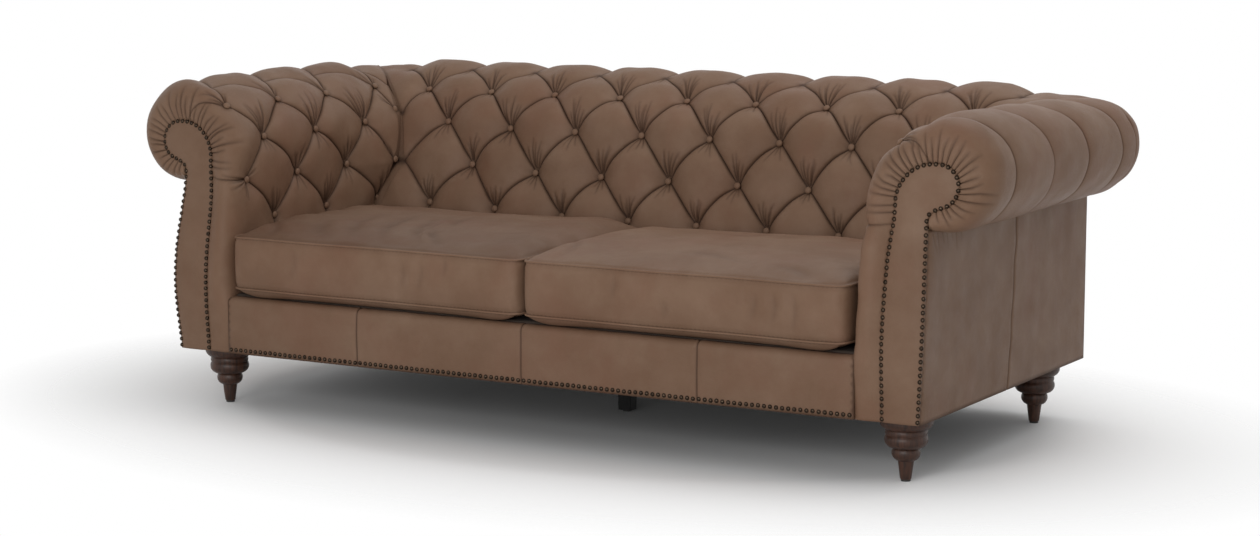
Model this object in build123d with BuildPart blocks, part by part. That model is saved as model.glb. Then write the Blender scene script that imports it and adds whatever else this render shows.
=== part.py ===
from build123d import *
import os
from math import cos, radians, sin, sqrt, tan

# Chesterfield sofa with two loose seat cushions, in millimetres.
# X runs along the sofa, the front faces -Y, Z is up and the floor is Z = 0.
# The origin is on the floor, under the middle of the overall width and depth.

# ---- Driving sizes: the whole sofa ----
overall_width = 2240.0  # over the two arm rolls
overall_depth = 1018.0  # from the front of the cushions to the back of the roll
overall_height = 785.0  # floor to the top of the rolls
leg_height = 142.0
seat_rail_height = 120.0
roll_radius = 122.0  # outer half of the arm and back rolls

# ---- Upholstery ----
pad_thickness = 42.0  # stuffing and leather over the frame
panel_thickness = 4.0  # outside arm and outside back panels
arm_width = 302.0  # face of the inside arm to the outside of the roll
arm_overhang = 144.0  # roll beyond the outside arm
back_overhang = 54.0  # roll beyond the outside back
back_depth = 393.0  # face of the inside back at seat level to the rear of the roll
knee_height = 420.0  # where the inside back starts to rake
back_rake = 18.6  # degrees from upright
deck_top = 286.0
deck_lip_round = 15.0
facing_setback = 19.0  # foot of the arm facings behind the cushion fronts
facing_lean = 4.2  # degrees that the arm fronts lean back
facing_thickness = 8.0
border_depth = 95.0  # gathered border round each arm front, at its foot
border_round = 30.0
rail_setback = 11.0  # front rail cover behind the cushion fronts
rail_cover_thickness = 26.0
soft_gap = 0.3

# ---- Deep buttoning ----
# Rows of buttons are given by their drop below the top of the rolls.
tuft_pitch = 190.0  # between the buttons of one row on the back
back_row_drops = (344.0, 241.5, 136.5, 41.0, 6.0)  # the last row is pleat ends only
back_row_counts = (8, 7, 8, 9, 10)
back_crease_depths = (17.0, 17.0, 14.0, 9.0, 8.0)
arm_row_drops = (52.0, 132.0, 235.0, 332.0)
arm_row_places = (  # behind the foot of the facing
    (85.0, 287.0, 485.0, 695.0),
    (170.0, 382.0, 585.0),
    (90.0, 295.0, 500.0),
    (200.0, 415.0, 620.0),
)
arm_crease_depths = (9.0, 13.0, 17.0, 17.0)
arm_pleat_lean = 90.0  # how far a pleat moves back on its way over the roll
arm_pleat_room = 30.0  # from the last pleat to the rear corner of the roll
corner_button_drops = (115.0, 234.0)  # where pleats of arm and back meet in the corner
pull_depth = 34.0  # face of the stuffing to the bottom of a button's pull
pull_seat_radius = 9.0
pull_radius = 40.0
crease_half_width = 26.0  # of a crease as deep as the first
crest_depth = 9.0  # of the pleats over the rolls
bottom_room = 6.0  # from the last crease to the foot of the cover
crease_overrun = 5.0  # how far creases run into each other where they meet

# ---- Scroll outline of the arm facings ----
scroll_margin = 69.0  # face of the inside arm to the scroll's inner line
neck_lean = 9.0  # how far the inner line moves outwards by the head
neck_start = 330.0  # height above the foot where it starts to move
head_drop = 94.0  # top of the scroll head below the top of the roll
head_radius = 86.0
curl_radius = 47.0
curl_shift = 11.0  # flat between the two arcs at the top of the head
curl_sweep = 160.0  # degrees of arc from the top of the head, round the curl
throat_radius = 24.0

# ---- Frame ----
board_thickness = 25.0
post_depth = 32.0
rail_thickness = 32.0
side_rail_thickness = 30.0
back_post_width = 45.0
arm_top_rail_width = 82.0
arm_rail_rise = 49.0  # arm top rail above the head of the outside arm
back_top_rail_width = 80.0
back_rail_drop = 28.0  # back top rail below the liner at the crown
tack_rail_height = 45.0
tack_rail_thickness = 26.0
tack_gap = 4.0  # slot above the deck, for the leather to be pulled through
rib_thickness = 18.0
liner_thickness = 3.0
rib_foot = 50.0
rib_web = 48.0  # wood left round the window in a back rib
arm_rib_count = 3
arm_rib_clearance = 21.0  # last arm rib before the face of the back
arm_rib_setback = 65.0  # first arm rib behind the gathered border
back_rib_count = 5
back_rib_clearance = 38.0  # end ribs before the faces of the arms
centre_rail_height = 90.0

# ---- Webbing ----
web_width = 50.0
web_thickness = 2.0
web_weave = 1.1  # half the rise of a strap over its neighbour
web_flat = 28.0  # flat half-length of a strap where another crosses it
long_web_pitch = 133.0
cross_web_pitch = 130.0
cross_web_setback = 105.0  # first cross strap behind the front rail

# ---- Legs ----
front_leg_setback = 94.0  # behind the foot of the arm facings
rear_leg_setback = 117.0  # before the back face of the frame
glide_height = 4.0
glide_radius = 10.5
bolt_radius = 4.0
bolt_in_leg = 28.0
bolt_in_block = 32.0
block_width = 80.0
block_length = 100.0
block_setback = 26.0  # front blocks stand this far behind their legs
block_height = 45.0
tee_nut_radius = 11.0
tee_nut_height = 2.0
centre_leg_setback = 481.0  # behind the front rail cover
centre_leg_top = 40.0
centre_leg_foot = 34.0
leg_foot_radius = 12.3
leg_cone_radius = 17.5
leg_cone_top = 45.0
small_ring_radius = 31.0
small_ring_top = 72.0
large_ring_radius = 47.0
large_ring_top = 100.0
leg_collar_radius = 45.5
leg_collar_top = 113.0
leg_plate_radius = 58.0
leg_plate_height = 14.0

# ---- Cushions ----
cushion_clearance = 8.0  # to the arm and to the back
cushion_split = 3.0  # between the two cushions
cushion_height = 146.0
cushion_round = 22.0
dust_cover_thickness = 1.0
dust_cover_edge = 6.0  # how far it stops short of the outside faces

# ---- Worked out ----
top_z = overall_height
roll_x = overall_width / 2 - roll_radius
roll_y = overall_depth / 2 - roll_radius
roll_z = top_z - roll_radius
arm_inner_x = overall_width / 2 - arm_width
arm_outer_x = overall_width / 2 - arm_overhang
outside_back_y = overall_depth / 2 - back_overhang
seat_back_y = overall_depth / 2 - back_depth
facing_y = facing_setback - overall_depth / 2
rail_cover_y = rail_setback - overall_depth / 2
scroll_inner_x = arm_inner_x + scroll_margin
side_face_x = arm_outer_x - panel_thickness
back_face_y = outside_back_y - panel_thickness
head_height = overall_height - leg_height - head_drop
rake = radians(back_rake)
lean = radians(facing_lean)
rail_top = leg_height + seat_rail_height
pad_foot = rail_top + web_thickness + 2 * web_weave + soft_gap
arm_inside_radius = roll_x - arm_inner_x
back_inside_radius = (
    (roll_y - seat_back_y) - (top_z - knee_height) * tan(rake)
) / (cos(rake) - (1 - sin(rake)) * tan(rake))
cover_front_y = facing_y + border_depth
scroll_scale = cos(lean)
tack_rail_z = deck_top + tack_gap
facing_plane = Plane(
    origin=(0, facing_y, leg_height),
    x_dir=(1, 0, 0),
    z_dir=(0, -cos(lean), sin(lean)),
)
board_plane = facing_plane.offset(-facing_thickness)
post_plane = board_plane.offset(-board_thickness)
post_back_plane = post_plane.offset(-post_depth)
parts_folder = "parts"
os.makedirs(parts_folder, exist_ok=True)


def save(builder, label):
    """Label a finished sub-part and write it as one STEP file."""
    builder.part.label = label
    export_step(builder.part, f"{parts_folder}/{label}.step")


def save_pair(builder, label):
    """Write the right-hand sub-part and its mirror image on the left."""
    save(builder, f"{label}_right")
    with BuildPart() as twin:
        add(mirror(builder.part, about=Plane.YZ))
    save(twin, f"{label}_left")


def box_between(low, high):
    """Box from its low corner to its high corner, added to the part in hand."""
    size = [b - a for a, b in zip(low, high)]
    middle = [(a + b) / 2 for a, b in zip(low, high)]
    with Locations(tuple(middle)):
        Box(*size)


# ---------------------------------------------------------------------------
# Sections shared by the upholstery, its liners and the ribs that shape them.
# Each is drawn at the face of the leather and again at a depth below it.
# ---------------------------------------------------------------------------
def arm_section(depth, foot, y):
    """Right arm: upright inside face, roll over, and down the outside."""
    inner = arm_inner_x + depth
    inside = arm_inside_radius - depth
    outside = roll_radius - depth
    shoulder = (inner, top_z - arm_inside_radius)
    crown = (roll_x, top_z - depth)
    under = (roll_x, roll_z - outside)
    with BuildSketch(Plane.XZ.offset(-y)) as section:
        with BuildLine():
            Line((inner, foot), shoulder)
            RadiusArc(shoulder, crown, inside)
            ThreePointArc(crown, (roll_x + outside, roll_z), under)
            Line(under, (arm_outer_x, under[1]))
            Line((arm_outer_x, under[1]), (arm_outer_x, foot))
            Line((arm_outer_x, foot), (inner, foot))
        make_face()
    return section.sketch


def back_section(depth, foot, x):
    """Back: upright below the knee, raked above it, roll over, down the outside."""
    inner = seat_back_y + depth
    inside = back_inside_radius - depth
    outside = roll_radius - depth
    centre_z = top_z - back_inside_radius
    shoulder = (roll_y - inside * cos(rake), centre_z + inside * sin(rake))
    knee = (inner, shoulder[1] - (shoulder[0] - inner) / tan(rake))
    crown = (roll_y, top_z - depth)
    reach = outside_back_y - roll_y
    under = (outside_back_y, roll_z - sqrt(outside**2 - reach**2))
    with BuildSketch(Plane.YZ.offset(x)) as section:
        with BuildLine():
            Line((inner, foot), knee)
            Line(knee, shoulder)
            RadiusArc(shoulder, crown, inside)
            ThreePointArc(crown, (roll_y + outside, roll_z), under)
            Line(under, (outside_back_y, foot))
            Line((outside_back_y, foot), (inner, foot))
        make_face()
    return section.sketch


def scroll_outline(plane):
    """Scroll of the arm front: straight pillar, round head, curl and throat."""
    head_x = scroll_inner_x + neck_lean + head_radius
    head_y = head_height - head_radius
    curl_x = head_x + curl_shift
    curl_y = head_height - curl_radius
    with BuildSketch(plane) as outline:
        with BuildLine():
            Line((side_face_x, 0), (scroll_inner_x, 0))
            Line((scroll_inner_x, 0), (scroll_inner_x, neck_start))
            Line((scroll_inner_x, neck_start), (head_x - head_radius, head_y))
            CenterArc((head_x, head_y), head_radius, 180, -90)
            Line((head_x, head_height), (curl_x, head_height))
            curl = CenterArc((curl_x, curl_y), curl_radius, 90, -curl_sweep)
            under = curl @ 1
            heading = curl % 1
            drop = (side_face_x - under.X) / heading.X
            throat = (side_face_x, under.Y + heading.Y * drop)
            Line(under, throat)
            Line(throat, (side_face_x, 0))
        make_face()
        corner = outline.vertices().sort_by_distance((*throat, 0))[0]
        fillet(corner, throat_radius)
    return outline.sketch


# Solid bodies inside the leather line, used to trim what meets them.
with BuildPart() as back_body:
    extrude(back_section(0, pad_foot, -arm_outer_x), amount=2 * arm_outer_x, dir=(1, 0, 0))
back_body_solid = back_body.part

arm_run = roll_y - cover_front_y
with BuildPart() as arm_hollow:
    extrude(arm_section(pad_thickness, leg_height, cover_front_y), arm_run, dir=(0, 1, 0))
arm_hollow_solid = arm_hollow.part

# ---------------------------------------------------------------------------
# Seat frame
# ---------------------------------------------------------------------------
rail_front_y = rail_cover_y + rail_cover_thickness
rail_back_y = rail_front_y + rail_thickness
post_inner_x = arm_inner_x + pad_thickness + liner_thickness
back_rail_y = back_face_y - rail_thickness
back_post_x = side_face_x - back_post_width
back_post_y = back_face_y - back_post_width

with BuildPart() as front_seat_rail:
    box_between((-post_inner_x, rail_front_y, leg_height), (post_inner_x, rail_back_y, rail_top))
save(front_seat_rail, "front_seat_rail")

with BuildPart() as back_seat_rail:
    box_between((-back_post_x, back_rail_y, leg_height), (back_post_x, back_face_y, rail_top))
save(back_seat_rail, "back_seat_rail")

with BuildPart() as side_seat_rail:
    side_rail_inner_x = side_face_x - side_rail_thickness
    box_between((side_rail_inner_x, facing_y, leg_height), (side_face_x, back_post_y, rail_top))
    split(bisect_by=post_back_plane, keep=Keep.BOTTOM)
save_pair(side_seat_rail, "side_seat_rail")

with BuildPart() as centre_rail:
    half = rail_thickness / 2
    box_between((-half, rail_back_y, leg_height), (half, back_rail_y, leg_height + centre_rail_height))
save(centre_rail, "centre_rail")

# ---------------------------------------------------------------------------
# Arm frames: scroll board, post, top rail, tacking rail, ribs and liner
# ---------------------------------------------------------------------------
with BuildPart() as scroll_board:
    extrude(scroll_outline(board_plane), amount=-board_thickness, dir=board_plane.z_dir)
    split(bisect_by=Plane.XY.offset(leg_height), keep=Keep.TOP)
save_pair(scroll_board, "scroll_board")

arm_panel_top = roll_z - roll_radius
arm_top_rail_height = arm_panel_top + arm_rail_rise
arm_rail_top = arm_top_rail_height + rail_thickness
post_length = (arm_top_rail_height - leg_height) / scroll_scale
with BuildPart() as arm_front_post:
    with BuildSketch(post_plane):
        with Locations((post_inner_x, 0)):
            Rectangle(
                side_face_x - post_inner_x,
                post_length + post_depth,
                align=(Align.MIN, Align.MIN),
            )
    extrude(amount=-post_depth)
    split(bisect_by=Plane.XY.offset(arm_top_rail_height), keep=Keep.BOTTOM)
    split(bisect_by=Plane.XY.offset(leg_height), keep=Keep.TOP)
save_pair(arm_front_post, "arm_front_post")

arm_rail_x = side_face_x - arm_top_rail_width
with BuildPart() as arm_top_rail:
    box_between((arm_rail_x, facing_y, arm_top_rail_height), (side_face_x, back_post_y, arm_rail_top))
    split(bisect_by=post_plane, keep=Keep.BOTTOM)
save_pair(arm_top_rail, "arm_top_rail")

tack_top = tack_rail_z + tack_rail_height
back_tack_y = seat_back_y + pad_thickness + liner_thickness
with BuildPart() as arm_tack_rail:
    box_between(
        (post_inner_x, facing_y, tack_rail_z),
        (post_inner_x + tack_rail_thickness, back_post_y, tack_top),
    )
    split(bisect_by=post_back_plane, keep=Keep.BOTTOM)
save_pair(arm_tack_rail, "arm_tack_rail")

with BuildPart() as arm_roll_liner:
    extrude(arm_section(pad_thickness, tack_rail_z, cover_front_y), arm_run, dir=(0, 1, 0))
    extrude(
        arm_section(pad_thickness + liner_thickness, pad_foot, cover_front_y),
        arm_run,
        dir=(0, 1, 0),
        mode=Mode.SUBTRACT,
    )
    add(back_body_solid, mode=Mode.SUBTRACT)
save_pair(arm_roll_liner, "arm_roll_liner")

first_rib_y = cover_front_y + arm_rib_setback
arm_rib_pitch = (seat_back_y - arm_rib_clearance - first_rib_y) / (arm_rib_count - 1)
with BuildPart() as arm_ribs:
    for i in range(arm_rib_count):
        rib_y = first_rib_y + i * arm_rib_pitch
        start_y = rib_y - rib_thickness / 2
        depth = pad_thickness + liner_thickness
        extrude(arm_section(depth, tack_top, start_y), rib_thickness, dir=(0, 1, 0))
    with Locations((0, cover_front_y, 0)):
        Box(
            side_face_x,
            2 * overall_depth,
            arm_rail_top,
            align=(Align.MIN, Align.MIN, Align.MIN),
            mode=Mode.SUBTRACT,
        )
    with Locations((side_face_x, cover_front_y, 0)):
        Box(
            panel_thickness,
            2 * overall_depth,
            arm_panel_top + pad_thickness,
            align=(Align.MIN, Align.MIN, Align.MIN),
            mode=Mode.SUBTRACT,
        )
save_pair(arm_ribs, "arm_ribs")

# ---------------------------------------------------------------------------
# Back frame: corner posts, top rail, tacking rail, ribs and liner
# ---------------------------------------------------------------------------
back_rail_top = top_z - pad_thickness - liner_thickness - back_rail_drop
back_top_rail_height = back_rail_top - rail_thickness
with BuildPart() as back_post:
    box_between(
        (back_post_x, back_post_y, leg_height),
        (side_face_x, back_face_y, back_top_rail_height),
    )
save_pair(back_post, "back_post")

back_top_rail_y = roll_y - back_top_rail_width / 2
with BuildPart() as back_top_rail:
    box_between(
        (-side_face_x, back_top_rail_y, back_top_rail_height),
        (side_face_x, back_top_rail_y + back_top_rail_width, back_rail_top),
    )
save(back_top_rail, "back_top_rail")

with BuildPart() as back_tack_rail:
    box_between(
        (-post_inner_x, back_tack_y, tack_rail_z),
        (post_inner_x, back_tack_y + tack_rail_thickness, tack_top),
    )
save(back_tack_rail, "back_tack_rail")

with BuildPart() as back_roll_liner:
    extrude(back_section(pad_thickness, tack_rail_z, -side_face_x), 2 * side_face_x, dir=(1, 0, 0))
    extrude(
        back_section(pad_thickness + liner_thickness, pad_foot, -side_face_x),
        2 * side_face_x,
        dir=(1, 0, 0),
        mode=Mode.SUBTRACT,
    )
    add(arm_hollow_solid, mode=Mode.SUBTRACT)
    add(mirror(arm_hollow_solid, about=Plane.YZ), mode=Mode.SUBTRACT)
save(back_roll_liner, "back_roll_liner")

window_low = tack_top + rib_web
window_high = back_top_rail_height - rib_web
window_back = back_face_y - rib_web
back_rib_reach = arm_inner_x - back_rib_clearance
back_rib_pitch = 2 * back_rib_reach / (back_rib_count - 1)
with BuildPart() as back_ribs:
    for i in range(back_rib_count):
        rib_x = i * back_rib_pitch - back_rib_reach
        start_x = rib_x - rib_thickness / 2
        depth = pad_thickness + liner_thickness
        extrude(back_section(depth, rail_top, start_x), rib_thickness, dir=(1, 0, 0))
    with BuildSketch(Plane.YZ) as window:
        with BuildLine():
            low_y = back_tack_y + tack_rail_thickness + rib_web
            high_y = low_y + (window_high - window_low) * tan(rake)
            Polyline(
                (low_y, window_low),
                (high_y, window_high),
                (window_back, window_high),
                (window_back, window_low),
                close=True,
            )
        make_face()
        fillet(window.vertices(), rib_web / 2)
    extrude(amount=roll_x, both=True, mode=Mode.SUBTRACT)
    with BuildSketch(Plane.YZ):
        with Locations((seat_back_y, 0)):
            Rectangle(
                back_face_y - rib_foot - seat_back_y,
                tack_rail_z,
                align=(Align.MIN, Align.MIN),
            )
        with Locations((back_tack_y, tack_rail_z)):
            Rectangle(tack_rail_thickness, tack_rail_height, align=(Align.MIN, Align.MIN))
        with Locations((back_top_rail_y, back_top_rail_height)):
            Rectangle(back_top_rail_width, rail_thickness, align=(Align.MIN, Align.MIN))
        with Locations((back_face_y, 0)):
            Rectangle(
                panel_thickness,
                roll_z,
                align=(Align.MIN, Align.MIN),
            )
    extrude(amount=roll_x, both=True, mode=Mode.SUBTRACT)
save(back_ribs, "back_ribs")

# ---------------------------------------------------------------------------
# Webbing, woven over and under, on top of the seat rails
# ---------------------------------------------------------------------------
web_z = rail_top + web_weave + web_thickness / 2
long_web_count = int((2 * arm_inner_x - web_width) / long_web_pitch) + 1
long_web_xs = [(i - (long_web_count - 1) / 2) * long_web_pitch for i in range(long_web_count)]
cross_web_first_y = rail_back_y + cross_web_setback
cross_web_count = int((back_rail_y - web_width - cross_web_first_y) / cross_web_pitch) + 1
cross_web_ys = [cross_web_first_y + i * cross_web_pitch for i in range(cross_web_count)]


def strap(ends, crossings, heights, plane):
    """Profile of one strap: flat on the rails and flat at every crossing."""
    flat = web_z - web_weave
    path = [(s, flat) for s in ends[:2]]
    for station, height in zip(crossings, heights):
        path += [(station - web_flat, height), (station + web_flat, height)]
    path += [(s, flat) for s in ends[2:]]
    upper = [(s, h + web_thickness / 2) for s, h in path]
    lower = [(s, h - web_thickness / 2) for s, h in path]
    with BuildSketch(plane) as profile:
        with BuildLine():
            Polyline(*upper, *reversed(lower), close=True)
        make_face()
    return profile.sketch


with BuildPart() as webbing_long:
    for i, x in enumerate(long_web_xs):
        ends = [rail_front_y, rail_back_y, back_rail_y, back_face_y]
        waves = [web_z + web_weave * (-1) ** (i + j) for j in range(cross_web_count)]
        start = Plane.YZ.offset(x - web_width / 2)
        extrude(strap(ends, cross_web_ys, waves, start), web_width, dir=(1, 0, 0))
save(webbing_long, "webbing_long")

with BuildPart() as webbing_cross:
    for j, y in enumerate(cross_web_ys):
        ends = [-side_face_x, -side_rail_inner_x, side_rail_inner_x, side_face_x]
        waves = [web_z - web_weave * (-1) ** (i + j) for i in range(long_web_count)]
        start = Plane.XZ.offset(-(y - web_width / 2))
        extrude(strap(ends, long_web_xs, waves, start), web_width, dir=(0, 1, 0))
save(webbing_cross, "webbing_cross")

# ---------------------------------------------------------------------------
# Deep buttoning: creases between the buttons, and the pull of each button
# ---------------------------------------------------------------------------
shoulder_y = roll_y - back_inside_radius * cos(rake)
shoulder_z = top_z - back_inside_radius * (1 - sin(rake))
crease_slope = crease_half_width / back_crease_depths[0]
crease_rise = pad_thickness + pull_depth


def back_face(x, z):
    """Point and outward direction on the inside back at a height."""
    if z < knee_height:
        return Vector(x, seat_back_y, z), Vector(0, -1, 0)
    if z < shoulder_z:
        return Vector(x, seat_back_y + (z - knee_height) * tan(rake), z), Vector(0, -cos(rake), sin(rake))
    rise = min(z - (top_z - back_inside_radius), back_inside_radius)
    run = sqrt(back_inside_radius**2 - rise**2)
    return Vector(x, roll_y - run, z), Vector(0, -run, rise).normalized()


def arm_face(y, z):
    """Point and outward direction on the inside of the right arm at a height."""
    if z < top_z - arm_inside_radius:
        return Vector(arm_inner_x, y, z), Vector(-1, 0, 0)
    rise = min(z - (top_z - arm_inside_radius), arm_inside_radius)
    run = sqrt(arm_inside_radius**2 - rise**2)
    return Vector(roll_x - run, y, z), Vector(-run, 0, rise).normalized()


def crease(first, second):
    """Solid to cut away for a V-shaped crease. Each end is (point, outward, depth)."""
    start, end = [point - outward * depth for point, outward, depth in (first, second)]
    along = (end - start).normalized()
    start, end = start - along * crease_overrun, end + along * crease_overrun
    across = (first[1] + second[1]).cross(along).normalized()
    section_plane = Plane(origin=start, x_dir=across, z_dir=along)
    upward = 1 if section_plane.y_dir.dot(first[1]) > 0 else -1
    with BuildSketch(section_plane) as section:
        with BuildLine():
            Polyline(
                (-crease_rise * crease_slope, upward * crease_rise),
                (0, 0),
                (crease_rise * crease_slope, upward * crease_rise),
                close=True,
            )
        make_face()
    with BuildPart() as wedge:
        extrude(section.sketch, amount=(end - start).length, dir=along)
    return wedge.part


def roll_pleat(centre, axis_x, axis_turn, sweep):
    """Solid to cut away for a pleat round a roll, from its crown down the outside."""
    crest_plane = Plane(origin=centre, x_dir=axis_x, z_dir=axis_x.cross(Vector(0, 0, 1)))
    half = crest_depth * crease_slope
    with BuildSketch(crest_plane) as section:
        with BuildLine():
            Polyline(
                (-2 * half, roll_radius + crest_depth),
                (0, roll_radius - crest_depth),
                (2 * half, roll_radius + crest_depth),
                close=True,
            )
        make_face()
    with BuildPart() as ring:
        revolve(section.sketch, axis=Axis(centre, axis_turn), revolution_arc=sweep)
    return ring.part


def pull_plane(point, outward, depth):
    """Plane at the bottom of a button's pull, facing out of the stuffing."""
    sideways = Vector(0, 0, 1).cross(outward).normalized()
    return Plane(origin=point - outward * depth, x_dir=sideways, z_dir=outward)


def row_of(count, pitch):
    """Places of one row, centred on zero."""
    return [(i - (count - 1) / 2) * pitch for i in range(count)]


def neighbours(row, other, gap):
    """Pairs of places in two rows that lie about one gap apart."""
    return [(a, b) for a in row for b in other if 0.5 * gap < abs(a - b) < 1.5 * gap]


pull_rise = pull_depth + pad_thickness / 4
pull_top_radius = pull_seat_radius + (pull_radius - pull_seat_radius) * pull_rise / pull_depth
corner_heights = [top_z - drop for drop in corner_button_drops]

back_rows = [
    [(x, top_z - drop, depth) for x in row_of(count, tuft_pitch)]
    for count, drop, depth in zip(back_row_counts, back_row_drops, back_crease_depths)
]
back_creases = []
for row, next_row in zip(back_rows, back_rows[1:]):
    for a, b in neighbours([x for x, _, _ in row], [x for x, _, _ in next_row], tuft_pitch / 2):
        low_end = (*back_face(a, row[0][1]), row[0][2])
        high_end = (*back_face(b, next_row[0][1]), next_row[0][2])
        back_creases.append(crease(low_end, high_end))
for x, z, depth in back_rows[0]:
    foot_end = (*back_face(x, pad_foot + bottom_room), depth)
    knee_end = (*back_face(x, knee_height - bottom_room), depth)
    back_creases.append(crease(foot_end, knee_end))
    back_creases.append(crease(knee_end, (*back_face(x, z), depth)))
for x, z, depth in back_rows[-1]:
    crown_end = (Vector(x, roll_y, top_z), Vector(0, 0, 1), crest_depth)
    back_creases.append(crease((*back_face(x, z), depth), crown_end))
    back_creases.append(
        roll_pleat(Vector(x, roll_y, roll_z), Vector(1, 0, 0), Vector(-1, 0, 0), 140)
    )
back_pulls = [
    pull_plane(*back_face(x, z), pull_depth) for row in back_rows[:-1] for x, z, _ in row
]

arm_pleat_last = roll_y - arm_pleat_room
arm_rows = [
    [(facing_y + place, top_z - drop, depth) for place in places if facing_y + place < arm_pleat_last - tuft_pitch / 2]
    for places, drop, depth in zip(arm_row_places, arm_row_drops, arm_crease_depths)
]
arm_creases = []
for row, next_row in zip(arm_rows, arm_rows[1:]):
    for a, b in neighbours([y for y, _, _ in row], [y for y, _, _ in next_row], tuft_pitch / 2):
        high_end = (*arm_face(a, row[0][1]), row[0][2])
        low_end = (*arm_face(b, next_row[0][1]), next_row[0][2])
        arm_creases.append(crease(low_end, high_end))
for y, z, depth in arm_rows[-1]:
    foot_end = (*arm_face(y, pad_foot + bottom_room), depth)
    arm_creases.append(crease(foot_end, (*arm_face(y, z), depth)))
for y, z, depth in arm_rows[0]:
    middle = arm_face(y + arm_pleat_lean / 2, (z + 2 * top_z) / 3 + crest_depth / 2)
    crown_end = (Vector(roll_x, y + arm_pleat_lean, top_z), Vector(0, 0, 1), crest_depth)
    arm_creases.append(crease((*arm_face(y, z), depth), (*middle, crest_depth)))
    arm_creases.append(crease((*middle, crest_depth), crown_end))
    arm_creases.append(
        roll_pleat(Vector(roll_x, y + arm_pleat_lean, roll_z), Vector(0, 1, 0), Vector(0, 1, 0), 178)
    )
arm_pulls = [pull_plane(*arm_face(y, z), pull_depth) for row in arm_rows[1:] for y, z, _ in row]

for z, arm_row, back_row in zip(corner_heights, (arm_rows[0], arm_rows[1]), (back_rows[3], back_rows[2])):
    corner_y = back_face(0, z)[0].Y
    corner_x = arm_face(0, z)[0].X
    depth = arm_crease_depths[2]
    y, row_z, row_depth = arm_row[-1]
    ends = [(*arm_face(y, row_z), row_depth), (*arm_face(corner_y, z), row_depth)]
    arm_creases.append(crease(*ends))
    x, row_z, row_depth = back_row[-1]
    for side in (-1, 1):
        ends = [(*back_face(side * x, row_z), row_depth), (*back_face(side * corner_x, z), row_depth)]
        back_creases.append(crease(*ends))

# ---------------------------------------------------------------------------
# Upholstery
# ---------------------------------------------------------------------------
with BuildPart() as seat_deck:
    box_between(
        (-arm_inner_x + soft_gap, rail_front_y, pad_foot),
        (arm_inner_x - soft_gap, seat_back_y - soft_gap, deck_top),
    )
save(seat_deck, "seat_deck")

with BuildPart() as front_border:
    box_between(
        (-arm_inner_x + soft_gap, rail_cover_y, leg_height),
        (arm_inner_x - soft_gap, rail_front_y, deck_top),
    )
    lip = front_border.edges().filter_by(Axis.X).group_by(Axis.Z)[-1].sort_by(Axis.Y)[0]
    fillet(lip, deck_lip_round)
save(front_border, "front_border")

with BuildPart() as arm_cover:
    extrude(arm_section(0, pad_foot, cover_front_y), arm_run, dir=(0, 1, 0))
    add(arm_hollow_solid, mode=Mode.SUBTRACT)
    add(back_body_solid, mode=Mode.SUBTRACT)
    add(arm_creases, mode=Mode.SUBTRACT)
    with Locations(*arm_pulls):
        Cone(
            pull_seat_radius,
            pull_top_radius,
            pull_rise,
            align=(Align.CENTER, Align.CENTER, Align.MIN),
            mode=Mode.SUBTRACT,
        )
save_pair(arm_cover, "arm_cover")

with BuildPart() as outside_arm:
    box_between((side_face_x, facing_y, leg_height), (arm_outer_x, outside_back_y, arm_panel_top))
    split(bisect_by=facing_plane, keep=Keep.BOTTOM)
save_pair(outside_arm, "outside_arm")

with BuildPart() as arm_facing:
    extrude(scroll_outline(facing_plane), amount=-facing_thickness, dir=facing_plane.z_dir)
    split(bisect_by=Plane.XY.offset(leg_height), keep=Keep.TOP)
save_pair(arm_facing, "arm_facing")

border_reach = cover_front_y - facing_y
with BuildPart() as border_hollow:
    extrude(arm_section(pad_thickness, 0, cover_front_y), border_reach, dir=(0, -1, 0))
    split(bisect_by=post_plane, keep=Keep.BOTTOM)

with BuildPart() as arm_border:
    extrude(arm_section(0, leg_height, cover_front_y), border_reach, dir=(0, -1, 0))
    split(bisect_by=facing_plane, keep=Keep.BOTTOM)
    inner_edge = facing_plane.from_local_coords((arm_inner_x, neck_start / 2))
    fillet(arm_border.edges().sort_by_distance(inner_edge)[0], border_round)
    add(border_hollow.part, mode=Mode.SUBTRACT)
    add(scroll_board.part, mode=Mode.SUBTRACT)
    add(arm_front_post.part, mode=Mode.SUBTRACT)
    add(front_seat_rail.part, mode=Mode.SUBTRACT)
    add(arm_facing.part, mode=Mode.SUBTRACT)
    add(outside_arm.part, mode=Mode.SUBTRACT)
    add(arm_creases, mode=Mode.SUBTRACT)
    with Locations(*arm_pulls):
        Cone(
            pull_seat_radius,
            pull_top_radius,
            pull_rise,
            align=(Align.CENTER, Align.CENTER, Align.MIN),
            mode=Mode.SUBTRACT,
        )
save_pair(arm_border, "arm_border")

back_reach = outside_back_y - roll_y
back_panel_top = roll_z - sqrt(roll_radius**2 - back_reach**2)
with BuildPart() as outside_back:
    box_between((-side_face_x, back_face_y, leg_height), (side_face_x, outside_back_y, back_panel_top))
save(outside_back, "outside_back")

with BuildPart() as roll_corner:
    with Locations((roll_x, roll_y, roll_z)):
        Sphere(roll_radius)
        Sphere(roll_radius - pad_thickness, mode=Mode.SUBTRACT)
    with Locations((arm_outer_x, roll_y, 0)):
        Box(
            overall_width,
            overall_depth,
            2 * overall_height,
            align=(Align.MIN, Align.MIN, Align.MIN),
            mode=Mode.INTERSECT,
        )
roll_corner_solid = roll_corner.part

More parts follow.
